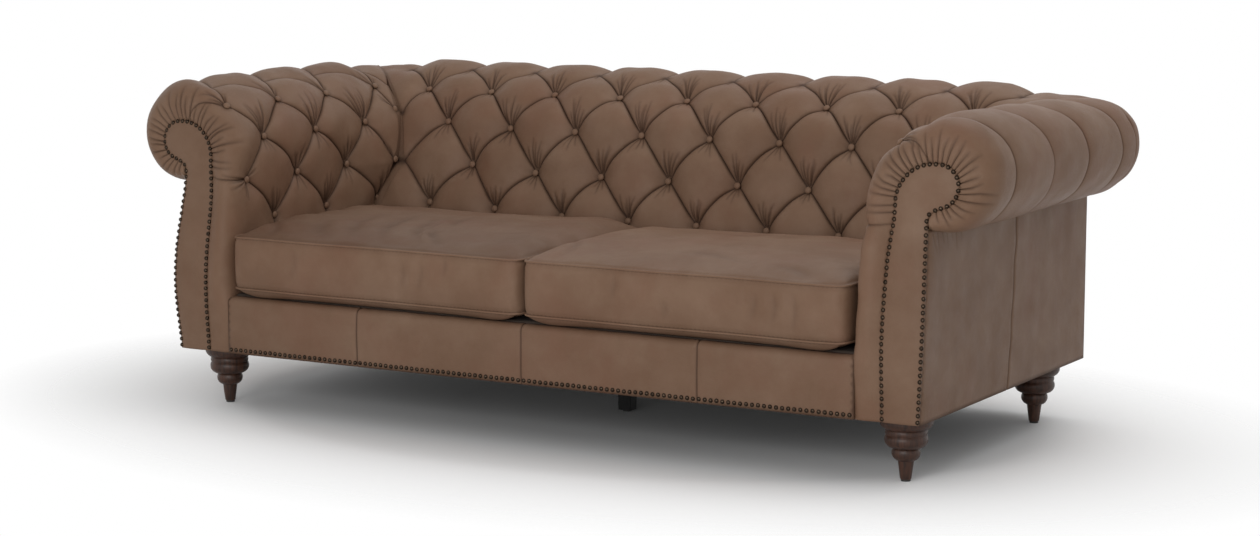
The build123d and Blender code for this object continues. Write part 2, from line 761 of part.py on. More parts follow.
with BuildPart() as back_cover:
    extrude(back_section(0, pad_foot, -roll_x), 2 * roll_x, dir=(1, 0, 0))
    extrude(back_section(pad_thickness, 0, -roll_x), 2 * roll_x, dir=(1, 0, 0), mode=Mode.SUBTRACT)
    with Locations((-roll_x, roll_y, 0), (roll_x, roll_y, 0)):
        Box(
            2 * (roll_x - arm_outer_x),
            2 * overall_depth,
            2 * overall_height,
            align=(Align.CENTER, Align.MAX, Align.MIN),
            mode=Mode.SUBTRACT,
        )
    add(arm_hollow_solid, mode=Mode.SUBTRACT)
    add(mirror(arm_hollow_solid, about=Plane.YZ), mode=Mode.SUBTRACT)
    add(roll_corner_solid)
    add(mirror(roll_corner_solid, about=Plane.YZ))
    add(back_creases, mode=Mode.SUBTRACT)
    with Locations(*back_pulls):
        Cone(
            pull_seat_radius,
            pull_top_radius,
            pull_rise,
            align=(Align.CENTER, Align.CENTER, Align.MIN),
            mode=Mode.SUBTRACT,
        )
save(back_cover, "back_cover")

# ---------------------------------------------------------------------------
# Loose seat cushions
# ---------------------------------------------------------------------------
cushion_foot = deck_top + soft_gap
with BuildPart() as seat_cushion:
    box_between(
        (cushion_split / 2, -overall_depth / 2, cushion_foot),
        (arm_inner_x - cushion_clearance, seat_back_y - cushion_clearance, deck_top + cushion_height),
    )
    fillet(seat_cushion.edges(), cushion_round)
save_pair(seat_cushion, "seat_cushion")

# ---------------------------------------------------------------------------
# Under the frame: leg blocks, legs, bolts, tee nuts, glides and dust cover
# ---------------------------------------------------------------------------
leg_x = side_rail_inner_x - block_width / 2
front_leg_y = facing_y + front_leg_setback
rear_leg_y = back_face_y - rear_leg_setback
centre_leg_y = rail_cover_y + centre_leg_setback
leg_places = [(x, y) for x in (-leg_x, leg_x) for y in (front_leg_y, rear_leg_y)]
block_places = [(x, y) for x in (-leg_x, leg_x) for y in (front_leg_y + block_setback, rear_leg_y)]
with BuildPart() as leg_blocks:
    with BuildSketch(Plane.XY.offset(leg_height)):
        with Locations(*block_places):
            Rectangle(block_width, block_length)
    extrude(amount=block_height)
    with Locations(*[(x, y, leg_height) for x, y in leg_places]):
        Cylinder(
            bolt_radius,
            block_height,
            align=(Align.CENTER, Align.CENTER, Align.MIN),
            mode=Mode.SUBTRACT,
        )
save(leg_blocks, "leg_blocks")

with BuildPart() as hanger_bolts:
    with Locations(*[(x, y, leg_height - bolt_in_leg) for x, y in leg_places]):
        Cylinder(
            bolt_radius,
            bolt_in_leg + bolt_in_block,
            align=(Align.CENTER, Align.CENTER, Align.MIN),
        )
    chamfer(hanger_bolts.edges().filter_by(GeomType.CIRCLE), bolt_radius / 5)
save(hanger_bolts, "hanger_bolts")

with BuildPart() as tee_nuts:
    with BuildSketch(Plane.XY.offset(leg_height + block_height)):
        with Locations(*leg_places):
            Circle(tee_nut_radius)
            Circle(bolt_radius, mode=Mode.SUBTRACT)
    extrude(amount=tee_nut_height)
save(tee_nuts, "tee_nuts")

with BuildPart() as turned_leg:
    with BuildSketch(Plane.XZ):
        with BuildLine():
            cone_top = (leg_cone_radius, leg_cone_top)
            ring_seat = (leg_cone_radius + 2, leg_cone_top)
            small_mid = (small_ring_radius, (leg_cone_top + small_ring_top) / 2 + 2)
            small_end = (small_ring_radius - 3, small_ring_top)
            large_mid = (large_ring_radius, (small_ring_top + large_ring_top) / 2 + 5)
            large_end = (large_ring_radius - 2.5, large_ring_top)
            collar_low = (leg_collar_radius - 1.5, large_ring_top + 1)
            collar_mid = (leg_collar_radius, (large_ring_top + leg_collar_top) / 2)
            collar_end = (leg_collar_radius - 1.5, leg_collar_top)
            cove_end = (leg_plate_radius, leg_height - leg_plate_height)
            Line((0, glide_height), (leg_foot_radius - 1.5, glide_height))
            Line((leg_foot_radius - 1.5, glide_height), (leg_foot_radius, glide_height + 1.5))
            Line((leg_foot_radius, glide_height + 1.5), cone_top)
            Line(cone_top, ring_seat)
            ThreePointArc(ring_seat, small_mid, small_end)
            Line(small_end, (small_end[0] - 1.5, small_end[1] + 1))
            ThreePointArc((small_end[0] - 1.5, small_end[1] + 1), large_mid, large_end)
            Line(large_end, collar_low)
            ThreePointArc(collar_low, collar_mid, collar_end)
            RadiusArc(collar_end, cove_end, -leg_plate_height * 1.6)
            Line(cove_end, (leg_plate_radius, leg_height))
            Line((leg_plate_radius, leg_height), (0, leg_height))
            Line((0, leg_height), (0, glide_height))
        make_face()
    revolve(axis=Axis.Z)
    with Locations((0, 0, leg_height - bolt_in_leg)):
        Cylinder(
            bolt_radius,
            bolt_in_leg,
            align=(Align.CENTER, Align.CENTER, Align.MIN),
            mode=Mode.SUBTRACT,
        )

leg_names = {
    "leg_front_left": (-leg_x, front_leg_y),
    "leg_front_right": (leg_x, front_leg_y),
    "leg_rear_left": (-leg_x, rear_leg_y),
    "leg_rear_right": (leg_x, rear_leg_y),
}
for name, place in leg_names.items():
    with BuildPart() as leg:
        add(turned_leg.part.moved(Location((place[0], place[1], 0))))
    save(leg, name)

with BuildPart() as centre_leg:
    with BuildSketch(Plane.XY.offset(glide_height)):
        with Locations((0, centre_leg_y)):
            RectangleRounded(centre_leg_foot, centre_leg_foot, 4)
    with BuildSketch(Plane.XY.offset(leg_height)):
        with Locations((0, centre_leg_y)):
            RectangleRounded(centre_leg_top, centre_leg_top, 4)
    loft()
save(centre_leg, "centre_leg")

with BuildPart() as glides:
    with BuildSketch(Plane.XY):
        with Locations(*leg_places, (0, centre_leg_y)):
            Circle(glide_radius)
    extrude(amount=glide_height)
save(glides, "glides")

with BuildPart() as dust_cover:
    with BuildSketch(Plane.XY.offset(leg_height - dust_cover_thickness)):
        with Locations((0, (rail_front_y + back_face_y) / 2)):
            Rectangle(
                2 * (side_face_x - dust_cover_edge),
                back_face_y - rail_front_y - 2 * dust_cover_edge,
            )
        with Locations(*leg_places):
            Circle(leg_plate_radius + 1, mode=Mode.SUBTRACT)
        with Locations((0, centre_leg_y)):
            Rectangle(centre_leg_top + 2, centre_leg_top + 2, mode=Mode.SUBTRACT)
    extrude(amount=dust_cover_thickness)
save(dust_cover, "dust_cover")
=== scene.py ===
# %% [markdown]
# # A chesterfield sofa in leather
# The joined frame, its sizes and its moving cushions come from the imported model. This lesson dresses
# it: deep-buttoned arms and back, gathered scroll fronts, nail rows, plump seat cushions and wood legs.
# Everything is in metres. X runs along the sofa, the front faces -Y, and the floor is Z = 0.

# %% Load the frame
import math

import bpy
import numpy as np
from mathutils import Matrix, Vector
from mathutils.geometry import delaunay_2d_cdt


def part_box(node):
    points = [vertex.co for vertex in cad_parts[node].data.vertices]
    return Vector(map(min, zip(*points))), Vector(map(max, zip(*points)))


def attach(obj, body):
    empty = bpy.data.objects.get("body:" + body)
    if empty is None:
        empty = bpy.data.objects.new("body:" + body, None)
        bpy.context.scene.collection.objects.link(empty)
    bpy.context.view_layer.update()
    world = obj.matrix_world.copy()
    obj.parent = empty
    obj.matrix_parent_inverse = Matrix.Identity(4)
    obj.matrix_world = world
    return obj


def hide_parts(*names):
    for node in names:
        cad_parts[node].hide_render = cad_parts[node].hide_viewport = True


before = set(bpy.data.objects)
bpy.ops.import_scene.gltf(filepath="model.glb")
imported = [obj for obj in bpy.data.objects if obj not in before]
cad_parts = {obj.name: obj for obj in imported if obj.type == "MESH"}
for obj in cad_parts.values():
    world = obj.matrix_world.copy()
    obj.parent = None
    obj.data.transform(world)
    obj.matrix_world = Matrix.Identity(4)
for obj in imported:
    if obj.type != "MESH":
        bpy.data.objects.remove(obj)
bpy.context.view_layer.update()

chance = np.random.default_rng(7)

# %% [markdown]
# ## The camera
# A long lens, a little above the arms, looks in from the right. The focal length and the place are
# all that set the view, so there is no shift and no depth of field.

# %% Camera
camera_data = bpy.data.cameras.new("camera")
camera_data.sensor_width = 36.0
camera_data.lens = 81.14
camera = bpy.data.objects.new("camera", camera_data)
camera.location = (3.340, -5.838, 1.313)
camera.rotation_euler = (math.pi / 2 - 0.143, 0, 0.520)
bpy.context.scene.collection.objects.link(camera)
bpy.context.scene.camera = camera
bpy.context.scene.view_settings.view_transform = "Standard"
print("camera at", tuple(camera.location))

# %% [markdown]
# ## Shader maths
# A material here is written as a sum, like any formula. One small class wraps a socket, so that
# a + b or mask * 2 adds the Math node itself. A second class holds the node tree of a material or of
# the world.


# %% Signals and shaders
class Signal:
    """An output socket that can be added, multiplied and so on."""

    def __init__(self, shader, socket):
        self.shader = shader
        self.socket = socket

    def math(self, operation, *values):
        return self.shader.node("ShaderNodeMath", {"operation": operation}, dict(enumerate(values)))

    def __add__(self, other):
        return self.math("ADD", self, other)

    def __radd__(self, other):
        return self.math("ADD", other, self)

    def __sub__(self, other):
        return self.math("SUBTRACT", self, other)

    def __mul__(self, other):
        return self.math("MULTIPLY", self, other)

    def clamp(self):
        return self.math("MINIMUM", self.math("MAXIMUM", self, 0.0), 1.0)


class Shader:
    """The node tree of one material, or of the world: its nodes are made by node()."""

    def __init__(self, name, owner=None, ending="ShaderNodeOutputMaterial"):
        self.owner = owner or bpy.data.materials.new(name)
        self.owner.use_nodes = True
        self.tree = self.owner.node_tree
        self.tree.nodes.clear()
        self.output = self.tree.nodes.new(ending)

    def node(self, kind, settings=None, inputs=None, output=0):
        made = self.tree.nodes.new(kind)
        for key, value in (settings or {}).items():
            setattr(made, key, value)
        for key, value in (inputs or {}).items():
            if isinstance(value, Signal):
                self.tree.links.new(value.socket, made.inputs[key])
            else:
                made.inputs[key].default_value = value
        return Signal(self, made.outputs[output])

    def place(self):
        return self.node("ShaderNodeTexCoord", output=3)

    def noise(self, scale, detail=3.0, roughness=0.5, at=None):
        inputs = {"Vector": at or self.place(), "Scale": scale, "Detail": detail, "Roughness": roughness}
        return self.node("ShaderNodeTexNoise", None, inputs)

    def stretched(self, size):
        return self.node("ShaderNodeMapping", None, {"Vector": self.place(), "Scale": size})

    def attribute(self, name):
        return self.node("ShaderNodeAttribute", {"attribute_name": name}, output=2)

    def mix(self, low, high, factor):
        return self.node("ShaderNodeMix", {"data_type": "RGBA"}, {0: factor, 6: low, 7: high}, 2)

    def bump(self, height, distance, strength=1.0, under=None):
        inputs = {"Height": height, "Distance": distance, "Strength": strength}
        if under:
            inputs["Normal"] = under
        return self.node("ShaderNodeBump", None, inputs)

    def seen(self):
        """1 where the camera or a reflection looks, 0 for the soft light that a surface gathers."""
        looks = [self.node("ShaderNodeLightPath", output=k) for k in (0, 3, 6)]
        return (looks[0] + looks[1] + looks[2]).clamp()

    def ends_in(self, signal):
        """Lead the last node to the output, and give back the material."""
        self.tree.links.new(signal.socket, self.output.inputs["Surface"])
        return self.owner

    def principled(self, **inputs):
        named = {key.replace("_", " "): value for key, value in inputs.items()}
        return self.ends_in(self.node("ShaderNodeBsdfPrincipled", None, named))


def srgb(*seen, tone=1.0):
    """A colour as it is seen, 0 to 255, in the linear numbers of a shader."""
    shares = [part * tone / 255 for part in seen]
    return (*(s / 12.92 if s < 11 / 255 else ((s + 0.055) / 1.055) ** 2.4 for s in shares), 1.0)


print("shader maths is ready")

# %% [markdown]
# ## Leather
# Waxed leather has three scales of detail. Clouds of paler and redder brown as wide as a hand come
# from the dye. Wrinkles of a few millimetres come from wear. The grain is a net of cells about a
# millimetre across. Pleats, buttons, wrinkles and seams are darkened with painted shade: the tufting code
# below writes how much painted shade each point gets into an attribute, and the colour reads it.


# %% Leather
def leather(name, tone=1.0):
    """Brown waxed leather; tone lightens or darkens the whole hide."""
    s = Shader(name)
    clouds = s.noise(7.0, 6.0, 0.62)
    patches = s.noise(22.0, 3.0, 0.6)
    red = s.noise(5.5, 5.0, 0.65, s.stretched((1.0, 1.3, 0.7)))
    pale, brown, russet, dark = (
        srgb(*seen, tone=tone) for seen in ((125, 100, 82), (111, 85, 67), (113, 78, 61), (34, 18, 11))
    )
    hide = s.mix(brown, pale, ((clouds - 0.38) * 2.6).clamp())
    hide = s.mix(hide, russet, ((red - 0.46) * 3.6).clamp() * 0.50)
    hide = s.mix(hide, brown, ((patches - 0.5) * 1.6).clamp() * 0.6)
    # Painted shade: the hide is mixed towards the dark brown wherever the attribute marks pleats, buttons,
    # wrinkles, seams and edges.
    painted_shade = s.attribute("painted_shade")
    hide = s.mix(hide, dark, (painted_shade * 0.97).clamp())
    net_of_cells = {"Vector": s.place(), "Scale": 620.0}
    cells = s.node("ShaderNodeTexVoronoi", {"feature": "DISTANCE_TO_EDGE"}, net_of_cells)
    grain = (cells * 3.0).clamp() + s.noise(900.0, 2.0) * 0.4
    wear = s.noise(75.0, 4.0, 0.62)
    rough = 0.52 + (patches - 0.5) * 0.22 + (painted_shade * 0.2).clamp()
    fine = s.bump(grain, 0.00035, 0.32)
    soft = s.bump(wear, 0.0022, 0.32, fine)
    return s.principled(
        Base_Color=hide,
        Roughness=rough,
        Normal=soft,
        Specular_IOR_Level=0.15,
        Coat_Weight=0.02,
        Coat_Roughness=0.4,
    )



hide = leather("leather")
hide_panel = leather("leather_panels", 0.97)
print("leather made")

# %% [markdown]
# ## Wood, brass and the hidden cloths
# The legs are stained walnut under a satin lacquer, with streaks that run up the turning. The nails
# are aged brass: bright where they are rubbed, brown in the hollows. Under the seat are a woven deck
# cloth, a black dust cloth, jute straps and plain frame woods.


# %% Woods
def wood(name, light, dark, size, rough, coat=0.0):
    """Long-grained wood; size stretches the streaks along the grain."""
    s = Shader(name)
    at = s.stretched(size)
    streaks = s.noise(9.0, 6.0, 0.62, at)
    pores = s.noise(60.0, 3.0, 0.7, at)
    colour = s.mix(dark, light, ((streaks - 0.35) * 2.6).clamp())
    colour = s.mix(colour, dark, ((pores - 0.55) * 4.0).clamp() * 0.5)
    bump = s.bump(pores + streaks * 0.5, 0.0004, 0.35)
    shine = rough + (pores - 0.5) * 0.15
    return s.principled(
        Base_Color=colour,
        Roughness=shine,
        Normal=bump,
        Coat_Weight=coat,
        Coat_Roughness=0.2,
        Specular_IOR_Level=0.3,
    )



walnut = wood("walnut", srgb(80, 50, 36), srgb(36, 21, 14), (16, 16, 2), 0.46, 0.08)
black_wood = wood("black_wood", srgb(30, 29, 28), srgb(15, 15, 15), (14, 14, 2), 0.5)
beech = wood("beech", srgb(208, 172, 130), srgb(172, 130, 90), (2, 14, 14), 0.6)
plywood = wood("plywood", srgb(196, 164, 122), srgb(160, 124, 84), (3, 3, 30), 0.6)
liner_board = wood("liner_board", srgb(150, 128, 98), srgb(122, 100, 74), (4, 4, 4), 0.8)


# %% Metals
def metal(name, bright, dull, rough, scale):
    """Metal whose hollows keep a dull patina."""
    s = Shader(name)
    patina = s.noise(scale, 4.0, 0.6)
    colour = s.mix(bright, dull, ((patina - 0.42) * 3.2).clamp())
    bump = s.bump(patina, 0.0003, 0.4)
    return s.principled(Base_Color=colour, Metallic=1.0, Roughness=rough + patina * 0.2, Normal=bump)


aged_brass = metal("aged_brass", srgb(64, 53, 44), srgb(18, 14, 12), 0.15, 260.0)
zinc_steel = metal("zinc_steel", srgb(190, 192, 196), srgb(140, 142, 146), 0.3, 90.0)


# %% Cloths
def cloth(name, thread, gap, pitch, rough=0.9):
    """A plain weave: two crossed sets of threads at the given pitch."""
    s = Shader(name)
    threads = {"Vector": s.place(), "Scale": pitch}
    waves = [s.node("ShaderNodeTexWave", {"bands_direction": axis}, threads) for axis in "XY"]
    weave = waves[0].math("MAXIMUM", *waves).clamp()
    fuzz = s.noise(40.0, 4.0)
    colour = s.mix(s.mix(gap, thread, weave), gap, (fuzz - 0.45).clamp())
    return s.principled(Base_Color=colour, Roughness=rough, Normal=s.bump(weave, 0.0006, 0.5))


deck_cloth = cloth("deck_cloth", srgb(60, 48, 40), srgb(32, 25, 21), 130.0)
dust_cloth = cloth("dust_cloth", srgb(32, 31, 31), srgb(16, 16, 16), 220.0)
jute = cloth("webbing", srgb(176, 142, 98), srgb(106, 80, 50), 90.0)


# %% Glides
def nylon(name):
    s = Shader(name)
    mottle = s.noise(120.0, 2.0)
    colour = s.mix(srgb(40, 36, 33), srgb(28, 25, 23), mottle)
    return s.principled(Base_Color=colour, Roughness=0.45 + mottle * 0.1)


glide_nylon = nylon("glide_nylon")
print("woods, metals and cloths made")

# %% [markdown]
# ## Bending a line by its length
# The arm and the back are each one outline that is swept along the sofa: straight up, over the roll
# and down behind it. Walking that line by its own length gives a flat map of the leather, the way an
# upholsterer marks it out on the bench: along the sofa one way, up and over the roll the other.


# %% Outlines walked by length
class Walk:
    """Straight runs and tangent arcs in a plane. A run is (length, degrees turned to the right)."""

    def __init__(self, start, heading, runs):
        self.runs = []
        point = np.array(start, float)
        angle = math.radians(heading)
        self.length = 0.0
        for length, turned in runs:
            bend = -math.radians(turned) / length
            self.runs.append((self.length, length, point, angle, bend))
            point = self.step(point, angle, bend, np.array([length]))[0]
            angle += bend * length
            self.length += length

    @staticmethod
    def step(point, angle, bend, distance):
        if abs(bend) < 1e-9:
            way = np.array([math.cos(angle), math.sin(angle)])
            return point + distance[:, None] * way
        last = angle + bend * distance
        x = (np.sin(last) - math.sin(angle)) / bend
        y = (math.cos(angle) - np.cos(last)) / bend
        return point + np.stack([x, y], 1)

    def at(self, distance):
        """Points on the line and the directions that point out of it, to the left of the way walked."""
        distance = np.clip(np.atleast_1d(np.asarray(distance, float)), 0, self.length)
        points = np.zeros((len(distance), 2))
        out = np.zeros((len(distance), 2))
        for start, length, point, angle, bend in self.runs:
            here = distance >= start - 1e-9
            local = distance[here] - start
            points[here] = self.step(point, angle, bend, local)
            last = angle + bend * local
            out[here] = np.stack([-np.sin(last), np.cos(last)], 1)
        return points, out

    def where(self, axis, value, low, high):
        """The length at which one coordinate reaches a value, between two lengths."""
        tries = np.linspace(low, high, 4001)
        return float(tries[np.argmin(np.abs(self.at(tries)[0][:, axis] - value))])


# %% Sizes of the arm and the back
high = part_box("back_cover")[1]
top = high.z
roll_radius = 0.122
roll_x = high.x - roll_radius
roll_y = high.y - roll_radius
arm_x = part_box("arm_cover_right")[0].x
panel_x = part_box("outside_arm_right")[1].x
panel_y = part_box("outside_back")[1].y
back_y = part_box("back_cover")[0].y
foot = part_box("outside_arm_right")[0].z
deck_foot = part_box("arm_cover_right")[0].z
border_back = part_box("arm_border_right")[1].y
knee_z = 0.420
rake = 18.6
knee_bend = 0.35
arm_inside = roll_x - arm_x
lift = math.radians(rake)
back_inside = (roll_y - back_y - (top - knee_z) * math.tan(lift)) / (
    math.cos(lift) - (1 - math.sin(lift)) * math.tan(lift)
)
shoulder_z = top - back_inside + back_inside * math.sin(lift)
knee_half = knee_bend * math.tan(lift / 2)
back_end = 180 - math.degrees(math.asin((panel_y - roll_y) / roll_radius))
back_line = Walk(
    (back_y, deck_foot),
    90,
    [
        (knee_z - deck_foot - knee_half, 0),
        (knee_bend * lift, rake),
        ((shoulder_z - knee_z) / math.cos(lift) - knee_half, 0),
        (back_inside * math.radians(90 - rake), 90 - rake),
        (roll_radius * math.pi, 180),
    ],
)
arm_line = Walk(
    (arm_x, foot),
    90,
    [
        (top - arm_inside - foot, 0),
        (arm_inside * math.pi / 2, 90),
        (roll_radius * math.pi, 180),
        (roll_x - panel_x, 0),
    ],
)
back_crown = back_line.length - roll_radius * math.pi
back_tuck = back_crown + roll_radius * math.radians(back_end)
arm_crown = top - arm_inside - foot + arm_inside * math.pi / 2
print("back line", round(back_line.length, 3), "arm line", round(arm_line.length, 3))

# %% [markdown]
# ## The scroll on the arm front
# The nails follow the edge of the wooden scroll board: up the pillar, round the head and back under
# the curl. The same kind of walk gives that edge. It lies on a plane that leans back a little, and
# the leather of the roll is gathered down to it.

# %% Scroll outline
lean = math.radians(4.2)
facing_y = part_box("arm_facing_right")[0].y
scroll_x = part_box("arm_facing_right")[0].x
pillar = 0.330
shoulder_bend = 7.74
head_radius = 0.086
curl_radius = 0.047
throat_radius = 0.024
shoulder_run, crown_run, curl_run = 0.0667, 0.011, 0.02265
scroll_line = Walk(
    (scroll_x, 0),
    90,
    [
        (pillar, 0),
        (shoulder_run, shoulder_bend),
        (shoulder_run, -shoulder_bend),
        (head_radius * math.pi / 2, 90),
        (crown_run, 0),
        (curl_radius * math.radians(160), 160),
        (curl_run, 0),
        (throat_radius * math.radians(70), -70),
        (0.4275, 0),
    ],
)
head_start = pillar + 2 * shoulder_run
head_top = head_start + head_radius * math.pi / 2 + crown_run / 2
curl_start = head_top + crown_run / 2
curl_side = curl_start + curl_radius * math.pi / 2
curl_end = curl_start + curl_radius * math.radians(160)
throat = curl_end + curl_run + throat_radius * math.radians(35)

pillar_swell, pillar_spread = 0.020, 0.010


def swell_at(z):
    """The stuffed pillar swells between its foot and the head: 0 at both, 1 in between."""
    return np.sin(math.pi * np.clip((z - foot) / 0.42, 0, 1) ** 0.9) ** 1.5


def on_facing(flat, proud=0.0):
    """Points of the leaning, swelled facing from (across, up the slope), stood proud of it."""
    z = foot + flat[:, 1] * math.cos(lean) + proud * math.sin(lean)
    swell = swell_at(z)
    y = facing_y + flat[:, 1] * math.sin(lean) - proud * math.cos(lean) - pillar_swell * swell
    x = flat[:, 0] + pillar_spread * swell * np.clip((flat[:, 0] - scroll_x) / 0.075, 0, 1)
    return np.stack([x, y, z], 1)


def facing_at(z):
    """How far back the facing is at a height."""
    return facing_y + (z - foot) * math.tan(lean) - pillar_swell * swell_at(z)


arm_stations = [0, top - arm_inside - foot, arm_crown, arm_crown + roll_radius * math.pi / 2]
arm_stations += [arm_crown + roll_radius * math.pi, arm_line.length]
scroll_stations = [0, head_start, head_top, curl_side, curl_end + 0.0226, throat]
print("scroll edge", round(scroll_line.length, 3), "m long")

# %% [markdown]
# ## From the flat map to the sofa
# Each map has a function that carries its points to their place on the sofa, sunk by a given depth.
# The arm's map goes on over the front edge, round a rounded corner, and ends on the nail line. That
# corner is a superellipse: nearly square down the stuffed pillar, and rounder at the head. The back's
# map goes on round the corner, where the roll turns into a ball.

# %% The two maps
edge_bulge = 0.055
edge_run = 0.110


def arm_front(s):
    """Where along the arm the front edge starts to turn, for each length over the roll."""
    return facing_at(arm_line.at(s)[0][:, 1]) + edge_bulge


def arm_place(flat, depth):
    """Right arm: (along Y, over the roll) to its place."""
    v, s = flat[:, 0], flat[:, 1]
    point, out = arm_line.at(s)
    edge = arm_front(s)
    turn = np.clip((edge - v) / edge_run, 0, 1) * math.pi / 2
    nail = on_facing(scroll_line.at(np.interp(s, arm_stations, scroll_stations))[0])
    away = point - nail[:, [0, 2]]
    reach = np.maximum(np.linalg.norm(away, axis=1), 0.02)
    shoulder = arm_stations[1]
    square = np.interp(s, [0.10, 0.16, shoulder - 0.06, shoulder + 0.04], [7.0, 3.4, 3.2, 2.2])
    across, ahead = np.cos(turn), np.sin(turn)
    stretch = (across**square + ahead**square) ** (-1 / square)
    puffed = np.interp(s, [0.0, 0.12, 0.36, 0.50, 0.62], [0.004, 0.008, 0.025, 0.018, 0.012])
    puffed *= 2.6 * ahead**2 * across
    across, ahead = across * stretch, ahead * stretch
    place = nail[:, [0, 2]] + away * across[:, None]
    y = np.where(v > edge, v, edge + (nail[:, 1] - edge) * ahead - puffed)
    side = out * (across ** (square - 1) / reach)[:, None]
    front = ahead ** (square - 1) / edge_bulge
    normal = np.stack([side[:, 0], -front, side[:, 1]], 1)
    normal /= np.linalg.norm(normal, axis=1)[:, None]
    return np.stack([place[:, 0], y, place[:, 1]], 1) - normal * depth[:, None]


def back_place(flat, depth):
    """Back: (along X, over the roll) to its place, with a ball at each rear corner."""
    u, s = flat[:, 0], flat[:, 1]
    point, out = back_line.at(s)
    point = point - out * depth[:, None]
    side = np.sign(u)
    turn = np.clip((np.abs(u) - roll_x) / roll_radius, 0, math.pi / 2)
    past = turn * (s > back_crown)
    reach = point[:, 0] - roll_y
    x = np.where(past > 0, side * (roll_x + reach * np.sin(past)), u)
    y = np.where(past > 0, roll_y + reach * np.cos(past), point[:, 0])
    return np.stack([x, y, point[:, 1]], 1)


print("maps ready")

# %% [markdown]
# ## Pleats, puffs and pulls
# Between the buttons the leather is folded into pleats, and the stuffing fills each diamond to a
# puff. So the depth at a point follows from its distance to the pleats around it: nothing on top of
# the puff, most in the pleat, and deeper still near a button, which pulls the leather in. Short
# wrinkles fan out of each button, mostly upwards, where the spare leather gathers.


# %% Curves
def bell(distance, width):
    """1 at no distance, and about a third of that at the width."""
    return np.exp(-((distance / width) ** 2))


def risen(distance, reach):
    """0 at an edge, and on its way to 1 behind it: nearly two thirds at the reach."""
    return 1 - np.exp(-distance / reach)


def domed(distance, reach):
    """0 at an edge and 1 from the reach on, steep at first and then level."""
    return 1 - (1 - np.clip(distance / reach, 0, 1)) ** 2


# %% Distances
def closed(ring):
    """A ring of points with its first one again at the end."""
    return np.vstack([ring, ring[:1]])


def to_path(points, path, reach):
    """Distance of each point to a path and how far along it that is, from 0 to 1. Far points get reach."""
    best = np.full(len(points), reach)
    along = np.zeros(len(points))
    near = np.all((points > path.min(0) - reach) & (points < path.max(0) + reach), axis=1)
    here = points[near]
    lengths = np.linalg.norm(np.diff(path, axis=0), axis=1)
    walked = np.concatenate([[0], np.cumsum(lengths)]) / max(lengths.sum(), 1e-9)
    low_d = np.full(len(here), reach)
    low_t = np.zeros(len(here))
    for i in range(len(path) - 1):
        way = path[i + 1] - path[i]
        t = np.clip(((here - path[i]) @ way) / max(way @ way, 1e-12), 0, 1)
        d = np.linalg.norm(here - path[i] - t[:, None] * way, axis=1)
        closer = d < low_d
        low_d[closer] = d[closer]
        low_t[closer] = walked[i] + t[closer] * (walked[i + 1] - walked[i])
    best[near] = low_d
    along[near] = low_t
    return best, along


def bowed(start, end, bow=0.008, steps=9):
    """A pleat between two points of the map. Spare leather makes its middle ride up by bow."""
    t = np.linspace(0, 1, steps)[:, None]
    rise = np.array([0.0, bow]) * 4 * t * (1 - t)
    return np.array(start) * (1 - t) + np.array(end) * t + rise


# %% Depth of the leather
puff_reach = 0.088
pull_reach = 0.034
crest_reach = 0.10


def tufted(points, pleats, buttons, strokes, crease_depth, fullness=0.5):
    """Depth and painted shade at each point of a map, from its pleats, buttons and wrinkles.
    A pleat is (path, strength at its start, strength at its end). A button is (place, depth).
    A stroke is (path, depth, width), a wrinkle that widens and fades along its path. Fullness is
    how flat the puffs are: 0.5 for flat ones with sharp sides, near 1 for round ones."""
    open_top = np.ones(len(points))
    painted_shade = np.zeros(len(points))
    groove = np.zeros(len(points))
    for path, first, last in pleats:
        d, t = to_path(points, path, puff_reach)
        strength = first + (last - first) * t
        rise = 1 - (1 - d / puff_reach) ** 2.6
        open_top *= 1 - strength * (1 - rise**fullness)
        groove = np.maximum(groove, strength * np.exp(-d / 0.0022))
        # Painted shade: a thin dark line along each pleat.
        painted_shade = np.maximum(painted_shade, strength * np.exp(-d / 0.0021))
    pull = crease_depth.copy()
    for place, depth in buttons:
        r = np.linalg.norm(points - np.array(place), axis=1)
        pull += (depth - crease_depth) * bell(r, pull_reach)
        # Painted shade: a dark halo round each button.
        painted_shade = np.maximum(painted_shade, 0.75 * bell(r, 0.013))
    depth = pull * (1 - open_top) + 0.003 * groove
    for path, deep, width in strokes:
        d, t = to_path(points, path, 0.02)
        x = d / (width * stroke_spread(t))
        fade = np.clip(t * 9, 0.25, 1) * (1 - t) ** 0.6
        hat = bell(x, 1.0) - 0.42 * bell(x, 2.3)
        depth += deep * fade * hat
        # Painted shade along each wrinkle.
        painted_shade = np.maximum(painted_shade, 0.85 * fade * np.exp(-1.6 * x**2) * min(1.0, deep / 0.0040))
    return depth, np.clip(painted_shade, 0, 1)


def stroke_spread(t):
    """A wrinkle is narrow where it leaves its button and widens along its length."""
    return 0.40 + 0.85 * t


def rays(place, middle, wide, count, long, deep=0.0058, width=0.0038):
    """Wrinkles that leave one place, spread by wide degrees to each side of a middle direction."""
    strokes = []
    for k in range(count):
        turn = middle + wide * ((2 * k + 1) / count - 1) + chance.normal(0, 2.5)
        way = np.array([math.sin(math.radians(turn)), math.cos(math.radians(turn))])
        side = np.array([way[1], -way[0]])
        reach = long * chance.uniform(0.70, 1.35)
        t = np.array([0.0, 0.35, 0.7, 1.0])[:, None]
        bend = reach * chance.normal(0, 0.04)
        path = np.array(place) + way * (0.006 + reach * t) + side * bend * 4 * t * (1 - t)
        strokes.append((path, deep * chance.uniform(0.65, 1.2), width))
    return strokes


def fan(place, up=6, down=3, long=0.060, toward=0.0, wide=23):
    """Wrinkles out of one button: most of them upwards, a few shorter ones down."""
    return rays(place, toward, wide, up, long) + rays(place, 180 + toward, 34, down, 0.6 * long, 0.0036)


